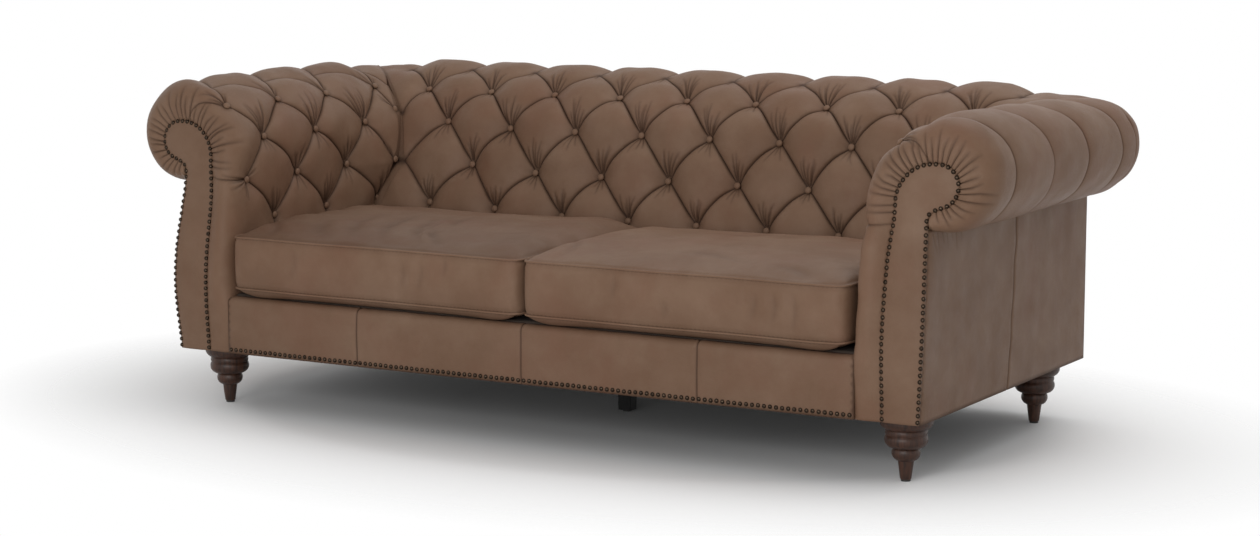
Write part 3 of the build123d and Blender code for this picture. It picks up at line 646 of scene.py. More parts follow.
print("tufting functions ready")

# %% [markdown]
# ## Cutting the map into faces
# A grid cannot follow pleats that cross it. So points are laid where they are needed, closely beside
# the pleats and wrinkles and loosely on the puffs, and a Delaunay triangulation joins them with the
# pleats themselves as edges. Small triangles then fall only where the leather bends sharply.


# %% Points on the map
def inside(points, outline):
    """Which points lie inside a closed outline."""
    count = np.zeros(len(points), bool)
    for a, b in zip(outline, np.roll(outline, -1, axis=0)):
        if a[1] == b[1]:
            continue
        crosses = (a[1] > points[:, 1]) != (b[1] > points[:, 1])
        x = a[0] + (points[:, 1] - a[1]) / (b[1] - a[1]) * (b[0] - a[0])
        count ^= crosses & (points[:, 0] < x)
    return count


def resample(path, step):
    """The same path with points about one step apart."""
    lengths = np.linalg.norm(np.diff(path, axis=0), axis=1)
    walked = np.concatenate([[0], np.cumsum(lengths)])
    stations = np.linspace(0, walked[-1], max(2, int(walked[-1] / step) + 1))
    return np.stack([np.interp(stations, walked, path[:, k]) for k in (0, 1)], 1)


pleat_rows = (0.0014, 0.0034, 0.0062)


def across(line):
    """Unit vectors square to a path, one at each of its points."""
    way = np.gradient(line, axis=0)
    return np.stack([-way[:, 1], way[:, 0]], 1) / np.linalg.norm(way, axis=1)[:, None]


def beside(path, offsets, step):
    """Rows of points at the given distances on both sides of a path."""
    line = resample(path, step)
    return [(line + across(line) * o, abs(o)) for offset in offsets for o in (offset, -offset)]


def net(outline, paths=(), strokes=(), spacing=0.0075):
    """Triangles over a map: points as (N, 2) and faces as (M, 3)."""
    rim = resample(closed(outline), 0.004)[:-1]
    lines = [resample(path, 0.003) for path in paths]
    low_edge, high_edge = outline.min(0), outline.max(0)
    columns, rows = ((high_edge - low_edge) / [spacing, spacing * 0.866]).astype(int) + 2
    grid = [
        (low_edge[0] + (i + 0.5 * (j % 2)) * spacing, low_edge[1] + j * spacing * 0.866)
        for j in range(rows)
        for i in range(columns)
    ]
    # A cloud is (points, how far they keep from pleats, how far they keep from wrinkles).
    clouds = [(np.array(grid), 0.0088, 0.0050)]
    for path in paths:
        clouds += [(p, 0.75 * o, 0.0) for p, o in beside(path, pleat_rows, 0.0036)]
    for path, _, width in strokes:
        line = resample(path, 0.0033)
        wide = across(line) * (width * stroke_spread(np.linspace(0, 1, len(line))))[:, None]
        clouds += [(line + k * wide, 0.0012, 0.0) for k in (-2.2, -1.1, 0.0, 1.1, 2.2)]
    points = np.vstack([c[0] for c in clouds])
    clear = np.concatenate([np.full(len(c[0]), c[1]) for c in clouds])
    calm = np.concatenate([np.full(len(c[0]), c[2]) for c in clouds])
    keep = inside(points, outline)
    points, clear, calm = points[keep], clear[keep], calm[keep]
    closest = np.full(len(points), 1.0)
    for path in paths:
        closest = np.minimum(closest, to_path(points, path, 0.012)[0])
    wrinkle = np.full(len(points), 1.0)
    for path, *_ in strokes:
        wrinkle = np.minimum(wrinkle, to_path(points, path, 0.012)[0])
    inset = to_path(points, closed(outline), 0.012)[0]
    keep = (closest >= np.minimum(clear, 0.0119)) & (wrinkle >= calm) & (inset > 0.0018)
    points = points[keep]
    cells = np.unique(np.round(points / 0.0011).astype(int), axis=0, return_index=True)[1]
    points = points[np.sort(cells)]
    everything = [rim] + lines + [points]
    edges = [(len(rim) - 1, 0)]
    start = 0
    for line in everything[:-1]:
        edges += [(start + i, start + i + 1) for i in range(len(line) - 1)]
        start += len(line)
    made = delaunay_2d_cdt([Vector(p) for p in np.vstack(everything)], edges, [], 1, 1e-5)
    flat = np.array([tuple(p) for p in made[0]])
    faces = np.array([f for f in made[2] if len(f) == 3])
    return flat, faces[inside(flat[faces].mean(1), outline)]


print("net functions ready")

# %% [markdown]
# ## Closing a sheet into a pad
# A leather face with nothing behind it would look hollow wherever its edge shows, and it couldn't be
# printed or baked well. So every mapped sheet gets a plain inner layer, joined to it round the rim.
# The left-hand pieces are the right-hand ones mirrored, with their faces turned back to point out.


# %% Pads and pieces
def ring_of(faces):
    """The edges that only one face has, chained into one ring of point numbers."""
    edges = np.vstack([faces[:, [0, 1]], faces[:, [1, 2]], faces[:, [2, 0]]]).tolist()
    known = {tuple(edge) for edge in edges}
    after = {a: b for a, b in known if (b, a) not in known}
    ring = [min(after)]
    while after[ring[-1]] != ring[0]:
        ring.append(after[ring[-1]])
    return ring


def volume(points, faces):
    """Signed volume of a closed mesh: negative means that its faces point inwards."""
    total = 0.0
    for size in (3, 4):
        some = np.array([f for f in faces if len(f) == size])
        if len(some):
            corners = points[some]
            for k in range(1, size - 1):
                a, b, c = corners[:, 0], corners[:, k], corners[:, k + 1]
                total += np.einsum("ij,ij->i", a, np.cross(b, c)).sum() / 6
    return total


def active(made):
    """Select one object alone, for the tools that work on the active object."""
    bpy.ops.object.select_all(action="DESELECT")
    bpy.context.view_layer.objects.active = made
    made.select_set(True)


def on_all_points(tool, **settings):
    """Run a mesh tool on every point of the active object."""
    bpy.ops.object.mode_set(mode="EDIT")
    bpy.ops.mesh.select_all(action="SELECT")
    tool(**settings)
    bpy.ops.object.mode_set(mode="OBJECT")


def read(made, what="co"):
    """The places or the normals of an object's points, as an array."""
    return np.array([tuple(getattr(v, what)) for v in made.data.vertices])


def write_painted_shade(mesh, painted_shade):
    layer = mesh.attributes.new("painted_shade", "FLOAT", "POINT")
    layer.data.foreach_set("value", np.asarray(painted_shade, np.float32))


def piece(name, points, faces, material, slot, body="sofa", painted_shade=None, left=False, merge=False):
    """Make one finished object from points and faces, and hand it to the frame."""
    points = np.array(points, float)
    if left:
        points[:, 0] *= -1
    if volume(points, faces) < 0:
        faces = [f[::-1] for f in faces]
    mesh = bpy.data.meshes.new(name)
    mesh.from_pydata(points.tolist(), [], [list(f) for f in faces])
    if painted_shade is not None:
        write_painted_shade(mesh, painted_shade)
    made = bpy.data.objects.new(name, mesh)
    bpy.context.scene.collection.objects.link(made)
    if merge:
        active(made)
        on_all_points(bpy.ops.mesh.remove_doubles, threshold=0.0002)
    mesh.shade_smooth()
    mesh.materials.append(material)
    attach(made, body)
    return made


def pad(name, flat, faces, place, depth, thick, material, slot, painted_shade=None, **more):
    """A mapped sheet, sunk by depth, with an inner layer at the depth thick: a number or a function."""
    ring = ring_of(faces)
    rim = flat[ring]
    low_edge, high_edge = rim.min(0), rim.max(0)
    columns = np.arange(low_edge[0], high_edge[0], 0.03)
    rows = np.arange(low_edge[1], high_edge[1], 0.03)
    grid = np.stack(np.meshgrid(columns, rows), -1).reshape(-1, 2)
    grid = grid[inside(grid, rim)]
    grid = grid[to_path(grid, closed(rim), 0.02)[0] > 0.012]
    edges = [(i, (i + 1) % len(rim)) for i in range(len(rim))]
    made = delaunay_2d_cdt([Vector(p) for p in np.vstack([rim, grid])], edges, [], 1, 1e-7)
    inner_flat = np.array([tuple(p) for p in made[0]])
    partner = {}
    for number, origins in enumerate(made[3]):
        for origin in origins:
            if origin < len(rim):
                partner[origin] = number + len(flat)
    kept = inside(inner_flat[np.array(made[2])].mean(1), rim)
    inner = [tuple(n + len(flat) for n in f[::-1]) for f, keep in zip(made[2], kept) if keep]
    outer = [tuple(f) for f in faces.tolist()]
    edges = enumerate(zip(ring, ring[1:] + ring[:1]))
    walls = [(b, a, partner[i], partner[(i + 1) % len(ring)]) for i, (a, b) in edges]
    inner_depth = thick(inner_flat) if callable(thick) else np.full(len(inner_flat), thick)
    points = np.vstack([place(flat, depth), place(inner_flat, inner_depth)])
    painted_shades = np.zeros(len(points))
    if painted_shade is not None:
        painted_shades[: len(flat)] = painted_shade
    return piece(name, points, outer + inner + walls, material, slot, painted_shade=painted_shades, **more)


def rumple(points, size, height, seed, waves=9):
    """A gentle random swell: the sum of a few flat waves about one size apart."""
    own = np.random.default_rng(seed)
    total = np.zeros(len(points))
    for _ in range(waves):
        angle, phase = own.uniform(0, 2 * math.pi, 2)
        wide = size * own.uniform(0.6, 1.6)
        way = np.array([math.cos(angle), math.sin(angle)]) * 2 * math.pi / wide
        total += np.sin(points[:, :2] @ way + phase)
    return total * height / math.sqrt(waves)


print("pads ready")

# %% [markdown]
# ## Where the arm meets the back
# The two tufted faces run into each other in a mitred corner. Each face is cut along that mitre and
# goes on a little past it, so that the two overlap out of sight. Past the line a face stays down, or
# close to the crown goes further down, because there the two surfaces lie almost in one plane.

# %% Mitre
along_back = np.linspace(0, back_crown, 600)
along_arm = np.linspace(0, arm_crown, 600)
back_profile = back_line.at(along_back)[0]
arm_profile = arm_line.at(along_arm)[0]
mitre_lap = 0.022


def mitre_y(z):
    """How far back the inside back is at a height."""
    return np.interp(z, back_profile[:, 1], back_profile[:, 0])


def corner_fill(z):
    """How far the arm's stuffing swells into the room at the corner."""
    return np.interp(z, [0.430, 0.545, 0.670, 0.740, top], [0.0, 0.046, 0.028, 0.008, 0.0])


def mitre_x(z):
    """How far out the inside arm is at a height, at the corner."""
    return np.interp(z, arm_profile[:, 1], arm_profile[:, 0]) - corner_fill(z)


def corner_bulge(y, z):
    """The arm's swelling at a place: full at the corner, gone 0.2 m in front of it."""
    return corner_fill(z) * np.clip(1 - (mitre_y(z) - y) / 0.20, 0, 1) ** 2


def lap_at(z):
    """How far a face goes on past the mitre: less towards the crown."""
    return mitre_lap - 0.017 * np.clip((z - 0.70) / (top - 0.70), 0, 1)


def lapped(place, z):
    """A place on the mitre moved on to the far edge of the hidden lap."""
    return place[0] + lap_at(z), place[1]


def past_mitre(over, z):
    """Extra depth of the hidden lap, for points that are over the mitre line."""
    return np.clip(over - 0.0045, 0, None) * np.clip((z - 0.69) / 0.05, 0, 1)


def zigzag(row, other, gap):
    """Pairs of neighbours from two rows of buttons whose places differ by about the gap."""
    pairs = [(i, j) for i in range(len(row)) for j in range(len(other))]
    return [(i, j) for i, j in pairs if abs(abs(row[i] - other[j]) - gap) < 0.4 * gap]


def arm_height(z):
    return arm_line.where(1, z, 0, arm_crown)


def back_height(z):
    return back_line.where(1, z, 0, back_crown)


def arm_mitre(z):
    """Place of the mitre on the arm's map, for a height."""
    return float(mitre_y(z)), arm_height(z)


def back_mitre(z, side=1):
    """Place of a mitre on the back's map, for a height."""
    return side * float(mitre_x(z)), back_height(z)


corner_high, corner_low = 0.670, 0.551
corner_pulls = {corner_high: 0.017, corner_low: 0.019}
mitre_runs = [(deck_foot + 0.004, corner_low, 0.10, 0.18), (corner_low, top - 0.002, 0.34, 0.26)]
print("mitre from", round(float(mitre_x(deck_foot)), 3), "to", round(float(mitre_x(top)), 3))

# %% [markdown]
# ## The arms
# Three staggered rows of buttons face the seat and a fourth is lost in the folds under the roll. From
# that top row one pleat each rises to a point near the crown and goes over the roll, leaning back as it
# does, then straight down behind. An arched pleat joins each point to the next button. The front edge
# is gathered onto the scroll in short pleats, and below the lowest forward pleat it is plain.

# %% Arm buttons and pleats
arm_rows = {
    "a": (0.737, 0.016, (-0.414, -0.207, -0.005, 0.205)),
    "b": (0.653, 0.023, (-0.320, -0.108, 0.095)),
    "c": (0.550, 0.023, (-0.400, -0.195, 0.010)),
    "d": (0.453, 0.024, (-0.290, -0.075, 0.136)),
}
arm_outside = (-0.325, -0.116, 0.097, 0.310)


arm_buttons = {
    f"{row}{k + 1}": ((y, arm_height(z)), depth)
    for row, (z, depth, places) in arm_rows.items()
    for k, y in enumerate(places)
}
for number, (z, depth) in enumerate(corner_pulls.items()):
    arm_buttons[f"m{number + 1}"] = (arm_mitre(z), depth)
arm_joined = "a1b1 a2b1 a2b2 a3b2 a3b3 a4b3 b1c1 b1c2 b2c2 b2c3 b3c3 c1d1 c2d1 c2d2 c3d2 c3d3".split()
arm_joined += ["a4m1", "b3m2", "m2d3"]
# How each arm's pleats cross its crown: the height of their points, how far back those lean, the shares
# of the way back at each step over the roll, and how proud the crown stands from front to back.
arm_ways = {
    "right": (0.768, 0.18, [0.45, 0.75, 0.95, 1.0, 1.0], [0.005, -0.004, -0.009, -0.014]),
    "left": (0.779, 0.42, [0.70, 0.92, 1.02, 1.05, 1.05], [0.004, 0.008, 0.005, -0.010]),
}


def arched(low_end, high_end):
    """A pleat that leaves a button steeply and arrives level at the point above it."""
    t = np.linspace(0, 1, 11)[:, None]
    low_end, high_end = np.array(low_end), np.array(high_end)
    bend = np.array([low_end[0] + 0.22 * (high_end[0] - low_end[0]), high_end[1] + 0.004])
    return low_end * (1 - t) ** 2 + bend * 2 * t * (1 - t) + high_end * t**2


def nail_line(s):
    """Where the arm's map ends, at the nails, for a length over the roll."""
    return float(arm_front(np.array([s]))[0]) - edge_run


def arm_pleats(crest_z, kink, shares):
    """The pleats of one arm, each with how strongly it starts and ends."""
    at = {name: place for name, (place, _) in arm_buttons.items()}
    pleats = [(bowed(at[pair[2:]], at[pair[:2]]), 1.0, 1.0) for pair in arm_joined]

    def add(path, first, last):
        pleats.append((np.array(path), first, last))

    over = arm_crown + roll_radius * np.array([0.0, 0.52, 1.05, 1.57, math.pi])
    points = []
    for k, back in enumerate(arm_outside):
        y, s = at[f"a{k + 1}"]
        gain = back - y
        points.append((y + kink * gain, arm_height(crest_z)))
        add([(y, s), points[-1]], 1.0, 1.0)
        add([points[-1], *zip(y + gain * np.array(shares), over)], 1.0, (0.60, 0.05, 0.60, 0.40)[k])
    for point, button in zip(points, ("a2", "a3", "a4")):
        add(arched(at[button], point), 1.0, 0.7)
    add(arched(arm_mitre(0.735), points[3]), 0.8, 0.7)
    for name in ("d1", "d2", "d3"):
        y, s = at[name]
        add([(y, s), (y, arm_height(deck_foot + 0.004))], 0.9, 0.5)
    y, s = at["a1"]
    end = arm_crown - 0.034
    add([(y, s), (-0.428, s + 0.010), (-0.458, arm_crown - 0.072), (nail_line(end), end)], 0.9, 0.5)
    y, s = at["c1"]
    end = arm_height(0.560)
    add([(y, s), (-0.440, s + 0.002), (nail_line(end), end)], 0.8, 0.45)
    for low_z, high_z, first, last in mitre_runs:
        add([arm_mitre(z) for z in np.linspace(low_z, high_z, 24)], first, last)
    add([(roll_y, arm_crown), (roll_y, arm_line.length)], 0.26, 0.12)
    return pleats


def arm_strokes():
    """Wrinkles out of the buttons, and the gathers round the scroll."""
    strokes = []
    for name, (place, _) in arm_buttons.items():
        if name[0] == "a":
            strokes += rays(place, -26, 20, 4, 0.062) + rays(place, 30, 12, 2, 0.036)
        elif name[0] == "m":
            strokes += rays(place, -30, 14, 2, 0.040)
        elif name == "c1":
            strokes += rays(place, -92, 22, 4, 0.056, 0.0050) + rays(place, -150, 20, 3, 0.036)
            strokes += rays(place, 38, 14, 2, 0.036)
        else:
            up, long = (7, 0.078) if name[0] == "b" else (6, 0.062)
            strokes += fan(place, up=up, long=long, toward=-7.0)
    place = head_start + 0.012
    while place < throat - 0.012:
        s = float(np.interp(place, scroll_stations, arm_stations))
        full = min(1.0, 0.55 + (place - head_start) / 0.10)
        reach = chance.uniform(0.034, 0.062) * (1.0 if chance.random() < 0.8 else 1.5)
        start = nail_line(s)
        middle, end = [s + chance.normal(0, wander) for wander in (0.002, 0.005)]
        path = np.array([(start - 0.008, s), (start + 0.5 * reach, middle), (start + reach, end)])
        strokes.append((path, 0.0105 * full * chance.uniform(0.7, 1.15), 0.0050))
        place += chance.uniform(0.0092, 0.0120)
    for z in (0.585, 0.600):
        s = arm_height(z)
        path = np.array([(nail_line(s) - 0.008, s), (nail_line(s) + 0.060, s - 0.004)])
        strokes.append((path, 0.0034, 0.0048))
    return strokes


def arm_outline():
    """Edge of the leather on the arm's map, from the foot of the pillar all the way round."""
    up = np.linspace(0, arm_line.length, 90)
    nail = np.stack([arm_front(up) - edge_run, up], 1)
    mitre = [lapped(arm_mitre(z), z) for z in np.linspace(deck_foot, top, 40)]
    start = [(border_back, 0.0), (border_back, mitre[0][1])]
    return np.vstack([start, mitre, [(roll_y, arm_crown + 0.002), (roll_y, arm_line.length)], nail[::-1]])


def arm_thick(flat):
    """Depth of the arm's inner layer: it comes close to the leather where that turns to the nails."""
    turn = np.clip((arm_front(flat[:, 1]) - flat[:, 0]) / edge_run, 0, 1)
    return 0.040 - 0.033 * turn


def make_arm(side):
    left = side == "left"
    crest_z, kink, shares, lifts = arm_ways[side]
    pleats, strokes = arm_pleats(crest_z, kink, shares), arm_strokes()
    flat, faces = net(arm_outline(), [p[0] for p in pleats], strokes)
    v, s = flat[:, 0], flat[:, 1]
    z = arm_line.at(s)[0][:, 1]
    front = np.clip((arm_front(s) - v) / edge_run, 0, 1)
    base = np.interp(s, [0, 0.5, 0.62, arm_crown, 0.85, 1.15], [0.017, 0.017, 0.016, 0.019, 0.011, 0.006])
    full = np.interp(s, [0.60, arm_crown - 0.03], [0.5, 0.85])
    met = np.stack([np.where(s < arm_crown, np.minimum(v, mitre_y(z)), v), s], 1)
    depth, painted_shade = tufted(met, pleats, list(arm_buttons.values()), strokes, base * (1 - 0.75 * front), full)
    crest_lift = np.interp(v, [-0.30, 0.10, 0.22, 0.34], lifts)
    depth -= crest_lift * bell(s - arm_crown, crest_reach) * (1 - front)
    depth += (past_mitre(v - mitre_y(z), z) - corner_bulge(v, z)) * (s < arm_crown)
    depth += rumple(flat, 0.11, 0.0009, 21 + left) * np.minimum(1, (1 - front) * 3)
    name = f"arm_leather_{side}"
    made = pad(name, flat, faces, arm_place, depth, arm_thick, hide, "arm_leather", painted_shade, left=left)
    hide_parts(f"arm_cover_{side}", f"arm_border_{side}")
    print(made.name, len(made.data.polygons), "faces")


for side in ("right", "left"):
    make_arm(side)

# %% [markdown]
# ## The back
# The back has the same deep buttons in four staggered rows, from arm to arm. Above the top row the
# pleats end in a row of points, and from each point a straight pleat goes over the crown and down to
# the outside back. At each rear corner the roll turns the corner as a ball with one pleat over it.

# %% Back buttons and pleats
shoulder_s = back_height(shoulder_z)


def spaced(count):
    """Places of buttons along the back, 190 mm apart and even about its middle."""
    return [(190 * k - 95 * (count - 1)) * 0.001 for k in range(count)]


back_rows = [
    (back_height(0.441), 0.032, spaced(8)),
    (back_height(0.5435), 0.031, spaced(7)),
    (back_height(0.6485), 0.031, spaced(8)),
    (shoulder_s + 0.124, 0.029, spaced(9)),
    (shoulder_s + 0.208, 0.014, spaced(10)),
]


def shrunk(flat):
    """The map with its corners drawn in, so that distances on the ball come out right."""
    over = np.clip(np.abs(flat[:, 0]) - roll_x, 0, None)
    tilt = np.clip((flat[:, 1] - back_crown) / roll_radius, 0, math.pi)
    x = np.where(over > 0, np.sign(flat[:, 0]) * (roll_x + over * np.sin(tilt)), flat[:, 0])
    return np.stack([x, flat[:, 1]], 1)


moved_pulls = {(1, 0): (0.0, 0.012), (2, 0): (0.0, 0.011), (0, 0): (-0.015, 0.014), (0, 1): (-0.008, 0.008)}


def back_at(row, number):
    """Place of one button on the back's map. A few beside the left corner were pulled in out of line."""
    aside, up = moved_pulls.get((row, number), (0.0, 0.0))
    return np.array([back_rows[row][2][number] + aside, back_rows[row][0] + up])


def back_pleats():
    """The pleats of the back, each with how strongly it starts and ends."""
    pleats = []

    def add(path, first, last):
        pleats.append((np.array(path), first, last))

    for low in range(4):
        for i, j in zigzag(back_rows[low][2], back_rows[low + 1][2], 0.095):
            add(bowed(back_at(low, i), back_at(low + 1, j), 0.009 if low < 2 else 0.006), 1.0, 1.0)
    for number in range(len(back_rows[0][2])):
        x, s = back_at(0, number)
        add([(x, s), (x, 0.004)], 0.9, 0.5)
    for x in back_rows[4][2]:
        add([(x, back_rows[4][0]), (x, back_crown), (x, back_tuck)], 1.0, 0.30)
    around = np.linspace(back_crown, back_line.length, 24)
    for side in (-1, 1):
        m1, m2 = [back_mitre(z, side) for z in corner_pulls]
        for start, row in ((m1, 3), (m2, 2), (m2, 0)):
            low_end, high_end = sorted((start, back_at(row, -1 if side > 0 else 0)), key=lambda p: p[1])
            add(bowed(low_end, high_end), 0.9, 0.9)
        for low_z, high_z, first, last in mitre_runs:
            add([back_mitre(z, side) for z in np.linspace(low_z, high_z, 24)], first, last)
        for turned, last in ((math.pi / 4, 0.45), (math.pi / 2, 0.35)):
            add([(side * (roll_x + roll_radius * turned), s) for s in around], 0.45, last)
    return pleats


def back_outline():
    """Edge of the leather on the back's map, round both halves."""
    mitre = [lapped(back_mitre(z), z) for z in np.linspace(deck_foot, top, 40)]
    ball = roll_x + roll_radius * math.pi / 2
    rear = [(ball, back_crown), (ball, back_line.length), (panel_x - 0.003, back_line.length)]
    rear += [(panel_x - 0.003, back_tuck + 0.004)]
    right = np.vstack([mitre, [(ball - 0.02, back_crown + 0.0005)], rear])
    return np.vstack([right, (right * [-1, 1])[::-1]])


def make_back():
    pleats = back_pleats()
    strokes = []
    for row in range(len(back_rows)):
        for number in range(len(back_rows[row][2])):
            place = back_at(row, number)
            if row < 3:
                strokes += fan(place, long=(0.050, 0.062, 0.070)[row])
            elif row == 3:
                strokes += fan(place, up=6, down=2, long=0.060, toward=-6.0, wide=28)
            else:
                strokes += rays(place, 200, 26, 2, 0.030, 0.0034)
    flat, faces = net(back_outline(), [p[0] for p in pleats], strokes, spacing=0.0080)
    s = flat[:, 1]
    z = back_line.at(s)[0][:, 1]
    buttons = [(back_at(k, i), row[1]) for k, row in enumerate(back_rows) for i in range(len(row[2]))]
    for side in (-1, 1):
        buttons += [(back_mitre(z, side), depth) for z, depth in corner_pulls.items()]
    stations = [0, shoulder_s, shoulder_s + 0.16, back_crown, back_crown + 0.12, back_line.length]
    base = np.interp(s, stations, [0.017, 0.017, 0.017, 0.019, 0.010, 0.005])
    full = np.interp(s, [shoulder_s + 0.10, back_crown - 0.03], [0.5, 0.85])
    drawn = [(shrunk(path), first, last) for path, first, last in pleats]
    limit = np.where(s < back_crown, mitre_x(z), 9.0)
    met = np.stack([np.clip(flat[:, 0], -limit, limit), s], 1)
    depth, painted_shade = tufted(shrunk(met), drawn, buttons, strokes, base, full)
    crest_lift = np.interp(flat[:, 0], [-0.92, -0.80, 0.80, 0.92], [-0.010, 0.008, 0.008, -0.014])
    depth -= crest_lift * bell(s - back_crown, crest_reach)
    depth += past_mitre(np.abs(flat[:, 0]) - mitre_x(z), z) * (s < back_crown)
    depth += rumple(shrunk(flat), 0.11, 0.0009, 33)
    made = pad("back_leather", flat, faces, back_place, depth, 0.040, hide, "back_leather", painted_shade, merge=True)
    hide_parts("back_cover")
    print("back_leather", len(made.data.polygons), "faces")
    return buttons


back_buttons = make_back()

# %% [markdown]
# ## Buttons
# Each button is a small dome covered in the same leather. It sits at the bottom of its pull and faces
# straight out of the stuffing there. One dome is modelled, and each row is built from copies of it.


# %% Small repeated shapes
def dome(segments, rings, radius, height):
    """A low round dome on a flatter belly, made from a UV sphere, as points and faces."""
    bpy.ops.object.select_all(action="DESELECT")
    bpy.ops.mesh.primitive_uv_sphere_add(segments=segments, ring_count=rings, radius=radius)
    made = bpy.context.object
    on_all_points(bpy.ops.transform.resize, value=(1, 1, height / radius))
    points = read(made)
    faces = [tuple(p.vertices) for p in made.data.polygons]
    bpy.data.objects.remove(made)
    return points, faces


def studs(name, shape, places, normals, material, slot, left=False):
    """Copies of one shape, each turned to face along its own normal, as one piece."""
    points, faces = shape
    all_points, all_faces = [], []
    for k, (place, normal) in enumerate(zip(places, normals)):
        turn = np.array(Vector(normal).to_track_quat("Z", "Y").to_matrix())
        all_points.append(points @ turn.T + place)
        all_faces += [tuple(n + k * len(points) for n in f) for f in faces]
    piece(name, np.vstack(all_points), all_faces, material, slot, left=left)


button_radius, button_height = 0.0085, 0.0048
button_shape = dome(16, 8, button_radius, button_height)


def button_row(name, buttons, place, slot, left=False):
    """One button in each pull, a little proud of its bottom."""
    flat = np.array([p for p, _ in buttons])
    deep = np.array([depth for _, depth in buttons])
    base = place(flat, deep)
    normals = place(flat, deep - 0.002) - base
    normals /= np.linalg.norm(normals, axis=1)[:, None]
    studs(name, button_shape, base + normals * 0.0045, normals, hide, slot, left)


for side in ("right", "left"):
    shown = []
    for (y, s), deep in arm_buttons.values():
        z = float(arm_line.at(np.array([s]))[0][0, 1])
        shown.append(((y, s), deep - float(corner_bulge(y, z))))
    button_row(f"arm_buttons_{side}", shown, arm_place, "arm_leather", side == "left")
row_buttons = [b for b in back_buttons if b[1] > 0.020]
button_row("back_buttons", row_buttons, back_place, "back_leather")
print(len(row_buttons), "buttons on the back and", len(arm_buttons), "on each arm")

# %% [markdown]
# ## The scroll facings
# A thin leather pad on the scroll board covers the raw edges of the gathers. It is a little domed, and
# the nails go in round its edge.

# %% Facings
scroll_steps = np.linspace(0, scroll_line.length, 220)
scroll_points = scroll_line.at(scroll_steps)[0]


def facing_place(flat, depth):
    return on_facing(flat, -depth)


def make_facing(side):
    left = side == "left"
    outline = np.vstack([scroll_points, [(scroll_points[-1][0], 0)]])
    outline[:, 1] = np.clip(outline[:, 1], 0.0, None)
    flat, faces = net(outline, spacing=0.006)
    edge = to_path(flat, scroll_points, 0.040)[0]
    depth = -0.0015 - 0.0055 * domed(edge, 0.030) + rumple(flat, 0.07, 0.0004, 5 + left)
    name = f"arm_facing_leather_{side}"
    made = pad(name, flat, faces, facing_place, depth, 0.0075, hide_panel, "arm_facing_leather", left=left)
    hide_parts(f"arm_facing_{side}")
    print(name, len(made.data.polygons), "faces")


for side in ("right", "left"):
    make_facing(side)

# %% [markdown]
# ## Nail rows
# Round-headed brass nails stand almost touching, all round each facing and along the foot of the front
# rail. No two are driven quite alike, so each is shifted and tipped a little.

# %% Nails
nail_radius, nail_height, nail_pitch = 0.0052, 0.0036, 0.0143
nail_shape = dome(10, 6, nail_radius, nail_height)


def tipped(normals, amount=0.09):
    loose = normals + chance.normal(0, amount, normals.shape)
    return loose / np.linalg.norm(loose, axis=1)[:, None]


for side in ("right", "left"):
    count = int((scroll_line.length - 0.012) / nail_pitch)
    stations = 0.007 + np.arange(count) * (scroll_line.length - 0.014) / (count - 1)
    point, out = scroll_line.at(stations + chance.normal(0, 0.0004, count))
    places = on_facing(point - out * 0.0018, 0.0026)
    normals = tipped(np.tile([0, -math.cos(lean), math.sin(lean)], (count, 1)))
    studs(f"nails_{side}", nail_shape, places, normals, aged_brass, "arm_facing_leather", side == "left")
rail_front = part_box("front_border")[0].y
rail_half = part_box("front_border")[1].x + 0.007
count = int(2 * (rail_half - 0.006) / nail_pitch)
xs = np.linspace(-rail_half + 0.008, rail_half - 0.008, count)
zs = foot + 0.0095 + chance.normal(0, 0.0003, count)
places = np.stack([xs, np.full(count, rail_front - 0.0012), zs], 1)
normals = tipped(np.tile([0.0, -1.0, 0.0], (count, 1)))
studs("nails_front", nail_shape, places, normals, aged_brass, "rail_leather")
print("nails", count, "along the rail")

# %% [markdown]
# ## Flat leather panels
# The front rail, the outside arms and the outside back are covered with flat leather over thin
# wadding. Each is made of pieces sewn edge to edge, so there is a fine valley at each seam, and the
# leather swells a little between its fixed edges.


# %% Panels
def seam_depth(flat, seams, deep=0.0024, width=0.0030):
    """Depth and painted shade at the seams of a panel: a valley between two low ridges, with a dark line
    painted along it.
    """
    depth = np.zeros(len(flat))
    painted_shade = np.zeros(len(flat))
    for path in seams:
        d = to_path(flat, np.array(path, float), 0.03)[0]
        depth += deep * bell(d, width) - 0.25 * deep * bell(d - 2.6 * width, width)
        painted_shade = np.maximum(painted_shade, 0.8 * bell(d, 0.0016))
    return depth, painted_shade


def panel(name, outline, place, seams, puff, slot, node, seed, wrinkles=(), thick=0.0035, **more):
    """A flat covering: puffed between its edges, with sewn seams and a few wrinkles."""
    outline = np.array(outline, float)
    seams = [np.array(seam, float) for seam in seams]
    flat, faces = net(outline, seams, wrinkles, spacing=0.011)
    edge = to_path(flat, closed(outline), 0.09)[0]
    depth = -puff * domed(edge, 0.09)
    sunk, painted_shade = seam_depth(flat, seams)
    # Painted shade: a dark line along the panel's edge.
    painted_shade = np.maximum(painted_shade, 0.55 * bell(edge, 0.0035))
    calm = np.clip(edge / 0.02, 0, 1)
    depth += sunk + rumple(flat, 0.10, 0.0007, seed) * calm
    if len(wrinkles):
        pulled, dark = tufted(flat, [], [], wrinkles, np.zeros(len(flat)))
        depth += pulled
        painted_shade = np.maximum(painted_shade, dark)
    made = pad(name, flat, faces, place, depth, thick, hide_panel, slot, painted_shade, **more)
    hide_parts(node)
    print(name, len(made.data.polygons), "faces")


def rectangle(x0, y0, x1, y1):
    return np.array([(x0, y0), (x1, y0), (x1, y1), (x0, y1)])


def upright_seams(places, low, high):
    return [[(x, low), (x, high)] for x in places]


rail_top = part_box("front_border")[1].z - 0.008
lip = 0.015
rail_line = Walk((rail_front, foot), 90, [(rail_top - foot - lip, 0), (lip * math.pi / 2, 90), (0.010, 0)])


